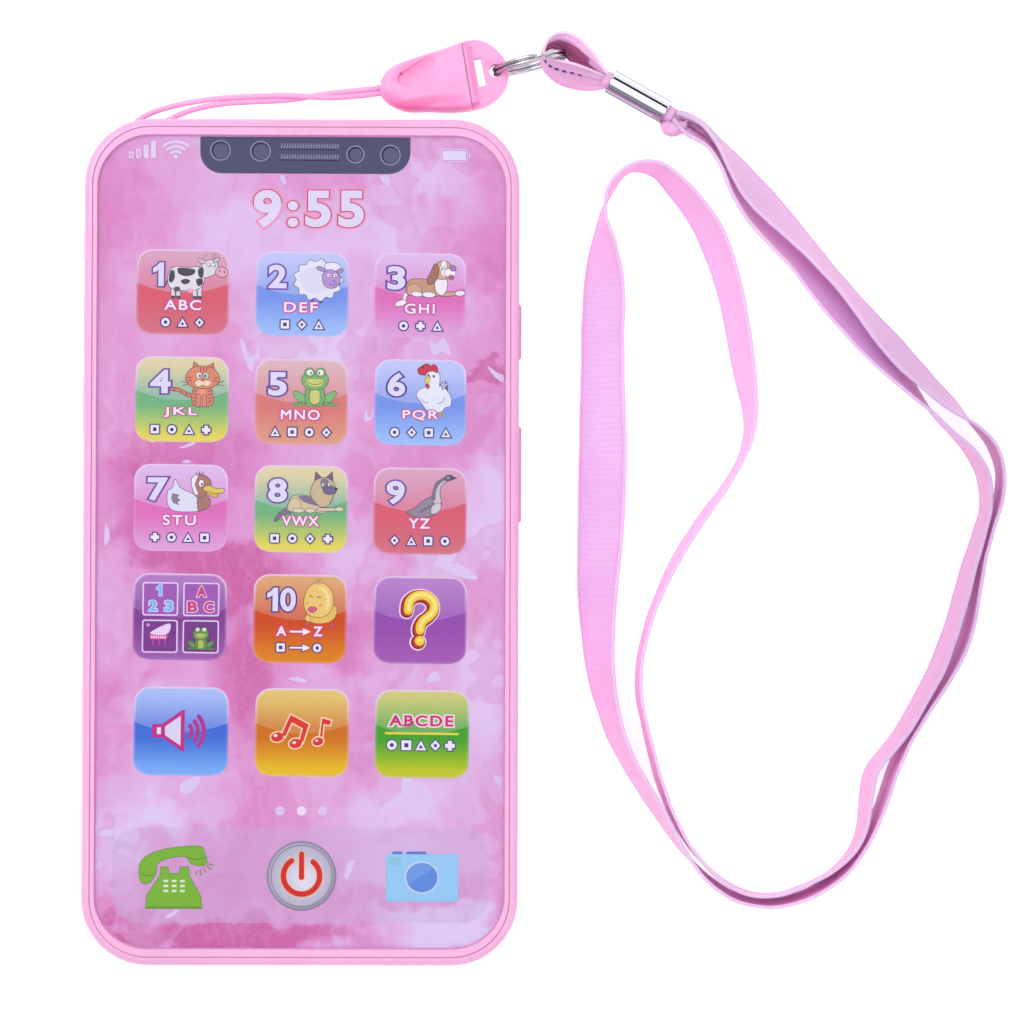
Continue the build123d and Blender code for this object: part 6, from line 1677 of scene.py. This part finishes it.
for s0, s1, p0, p1, w in [(84 + 6 * i, 87.2 + 6 * i, 0.06, 0.06, 0.05) for i in range(7)]:
    m_ = 8
    k0 = len(V)
    for i in range(m_ + 1):
        s = s0 + (s1 - s0) * i / m_
        pc = p0 + (p1 - p0) * i / m_
        for pp, dd in ((pc - w, 0.05), (pc + w, 0.05), (pc + w, -0.02), (pc - w, -0.02)):
            q, lt = outer(s, pp)
            V.append(tuple(q - lt * dd))
    for i in range(m_):
        for j in range(4):
            a, b = k0 + i * 4 + j, k0 + i * 4 + (j + 1) % 4
            F.append([a, b, b + 4, a + 4])
    F.append([k0 + 3, k0 + 2, k0 + 1, k0])
    F.append([k0 + m_ * 4 + j for j in range(4)])
marks = mesh_object("loop_print_dashes", V, F, M_MARK)
bm = bmesh.new()
bm.from_mesh(marks.data)
bmesh.ops.recalc_face_normals(bm, faces=bm.faces)
bm.to_mesh(marks.data)
bm.free()
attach(marks, "ribbon")

# the crumpled fold that bulges out under the tube's lower end
puff = tube("ribbon_fold", bez((62.4, 73.9, 5.6), (62.9, 71.6, 6.2), (65.0, 71.3, 8.4), (66.4, 73.3, 7.6), 56) + [(66.4, 73.3, 7.6)],
            lambda t: 0.30 + 1.12 * math.sin(math.pi * min(1, t * 1.04)) ** 0.6 + 0.05 * math.sin(t * 26), M_LOOP, "ribbon", seg=40, ripple=0.05, pitch=5.0)
vein = tube("ribbon_strand_fill", bez((64.2, 74.5, 6.4), (66.5, 73.8, 5.6), (69.8, 72.1, 4.6), (72.2, 68.6, 4.2), 48) + [(72.2, 68.6, 4.2)],
            lambda t: 1.05 - 0.25 * t, M_LOOP, "ribbon", seg=28, ripple=0.05, pitch=5.0, squash=1.5)

# ------------------------------------------------------------------ floor, light, camera
fm, fnt, fb, fout = new_mat("pale_floor")
fp = coords(fnt)
fnz = noise(fnt, fp, 0.01, 2.0, 0.5).outputs[0]
fnt.links.new(mix(fnt, map_range(fnt, fnz, 0.3, 0.7, 0, 1), (0.43, 0.43, 0.435, 1), (0.45, 0.45, 0.45, 1)), fb.inputs["Base Color"])
fb.inputs["Roughness"].default_value = 0.9
fb.inputs["Specular IOR Level"].default_value = 0.0
fb.inputs["Emission Color"].default_value = (1, 1, 1, 1)
fb.inputs["Emission Strength"].default_value = 0.80
back = node(fnt, "ShaderNodeNewGeometry").outputs["Backfacing"]
clear = node(fnt, "ShaderNodeBsdfTransparent", {"Color": (1, 1, 1, 1)})
mx = node(fnt, "ShaderNodeMixShader", {0: back, 1: fb.outputs[0], 2: clear.outputs[0]})
fnt.links.new(mx.outputs[0], fout.inputs[0])
me = bpy.data.meshes.new("floor")
me.from_pydata([(-4, -4, -0.0002), (4, -4, -0.0002), (4, 4, -0.0002), (-4, 4, -0.0002)], [], [[0, 1, 2, 3]])
me.materials.append(fm)
floor = bpy.data.objects.new("floor", me)
scene.collection.objects.link(floor)

world = bpy.data.worlds.new("studio")
scene.world = world
world.use_nodes = True
wn = world.node_tree
wn.nodes.clear()
wo = wn.nodes.new("ShaderNodeOutputWorld")
lp_ = node(wn, "ShaderNodeLightPath")
tcw = node(wn, "ShaderNodeTexCoord")
sepw = node(wn, "ShaderNodeSeparateXYZ", {0: tcw.outputs["Generated"]})
soft = node(wn, "ShaderNodeBackground", {"Color": (1.0, 0.995, 1.0, 1), "Strength": 0.80})
elev = sepw.outputs[2]
side_s = node(wn, "ShaderNodeVectorMath", {0: tcw.outputs["Generated"], 1: (0.486, 0.874, 0.0)}, operation="DOT_PRODUCT").outputs["Value"]
north = ramp(wn, elev, [(0.0, (240, 240, 244)), (0.50, (238, 238, 244)), (0.62, (206, 204, 214)), (0.68, (24, 22, 40)), (0.86, (14, 14, 30)), (0.895, (250, 250, 254)), (1.0, (250, 250, 254))])
south = ramp(wn, elev, [(0.0, (128, 124, 138)), (0.30, (150, 146, 160)), (0.66, (182, 178, 192)), (0.72, (96, 92, 110)), (0.79, (96, 92, 110)), (0.83, (250, 250, 254)), (1.0, (250, 250, 254))])
band_c = mix(wn, map_range(wn, side_s, -0.12, 0.12, 0, 1), south, north)
gloss = node(wn, "ShaderNodeBackground", {"Color": band_c, "Strength": 1.1})
mxw = node(wn, "ShaderNodeMixShader", {0: lp_.outputs["Is Glossy Ray"], 1: soft.outputs[0], 2: gloss.outputs[0]})
wn.links.new(mxw.outputs[0], wo.inputs[0])


def area(name, loc, size, power, target=(0.03, 0.0, 0.0), color=(1, 1, 1)):
    l = bpy.data.lights.new(name, "AREA")
    l.shape = "RECTANGLE"
    l.size, l.size_y = size
    l.energy = power
    l.color = color
    o = bpy.data.objects.new(name, l)
    scene.collection.objects.link(o)
    o.location = loc
    d = Vector(target) - Vector(loc)
    o.rotation_euler = d.to_track_quat("-Z", "Y").to_euler()
    return o


area("key_light", (-0.50, 0.45, 0.95), (0.7, 0.7), 5.2)
area("fill_light", (0.75, -0.45, 0.80), (0.8, 0.8), 2.0)

cam_data = bpy.data.cameras.new("camera")
cam_data.lens = 162.56
cam_data.sensor_width = 36.0
cam_data.clip_start, cam_data.clip_end = 0.01, 50.0
cam = bpy.data.objects.new("camera", cam_data)
scene.collection.objects.link(cam)
vd = Vector((0.0158, 0.0283, -0.9995)).normalized()
up = Vector((-0.0031, 0.9996, 0.0282))
up = (up - vd * up.dot(vd)).normalized()
rt = vd.cross(up).normalized()
m4 = Matrix.Identity(4)
for i in range(3):
    m4[i][0], m4[i][1], m4[i][2] = rt[i], up[i], -vd[i]
m4[0][3], m4[1][3], m4[2][3] = 23.63 * MM, -17.3 * MM, 806.81 * MM
cam.matrix_world = m4
scene.camera = cam

scene.view_settings.view_transform = "Standard"
scene.view_settings.look = "None"
scene.view_settings.exposure = 0.0
scene.view_settings.gamma = 1.0
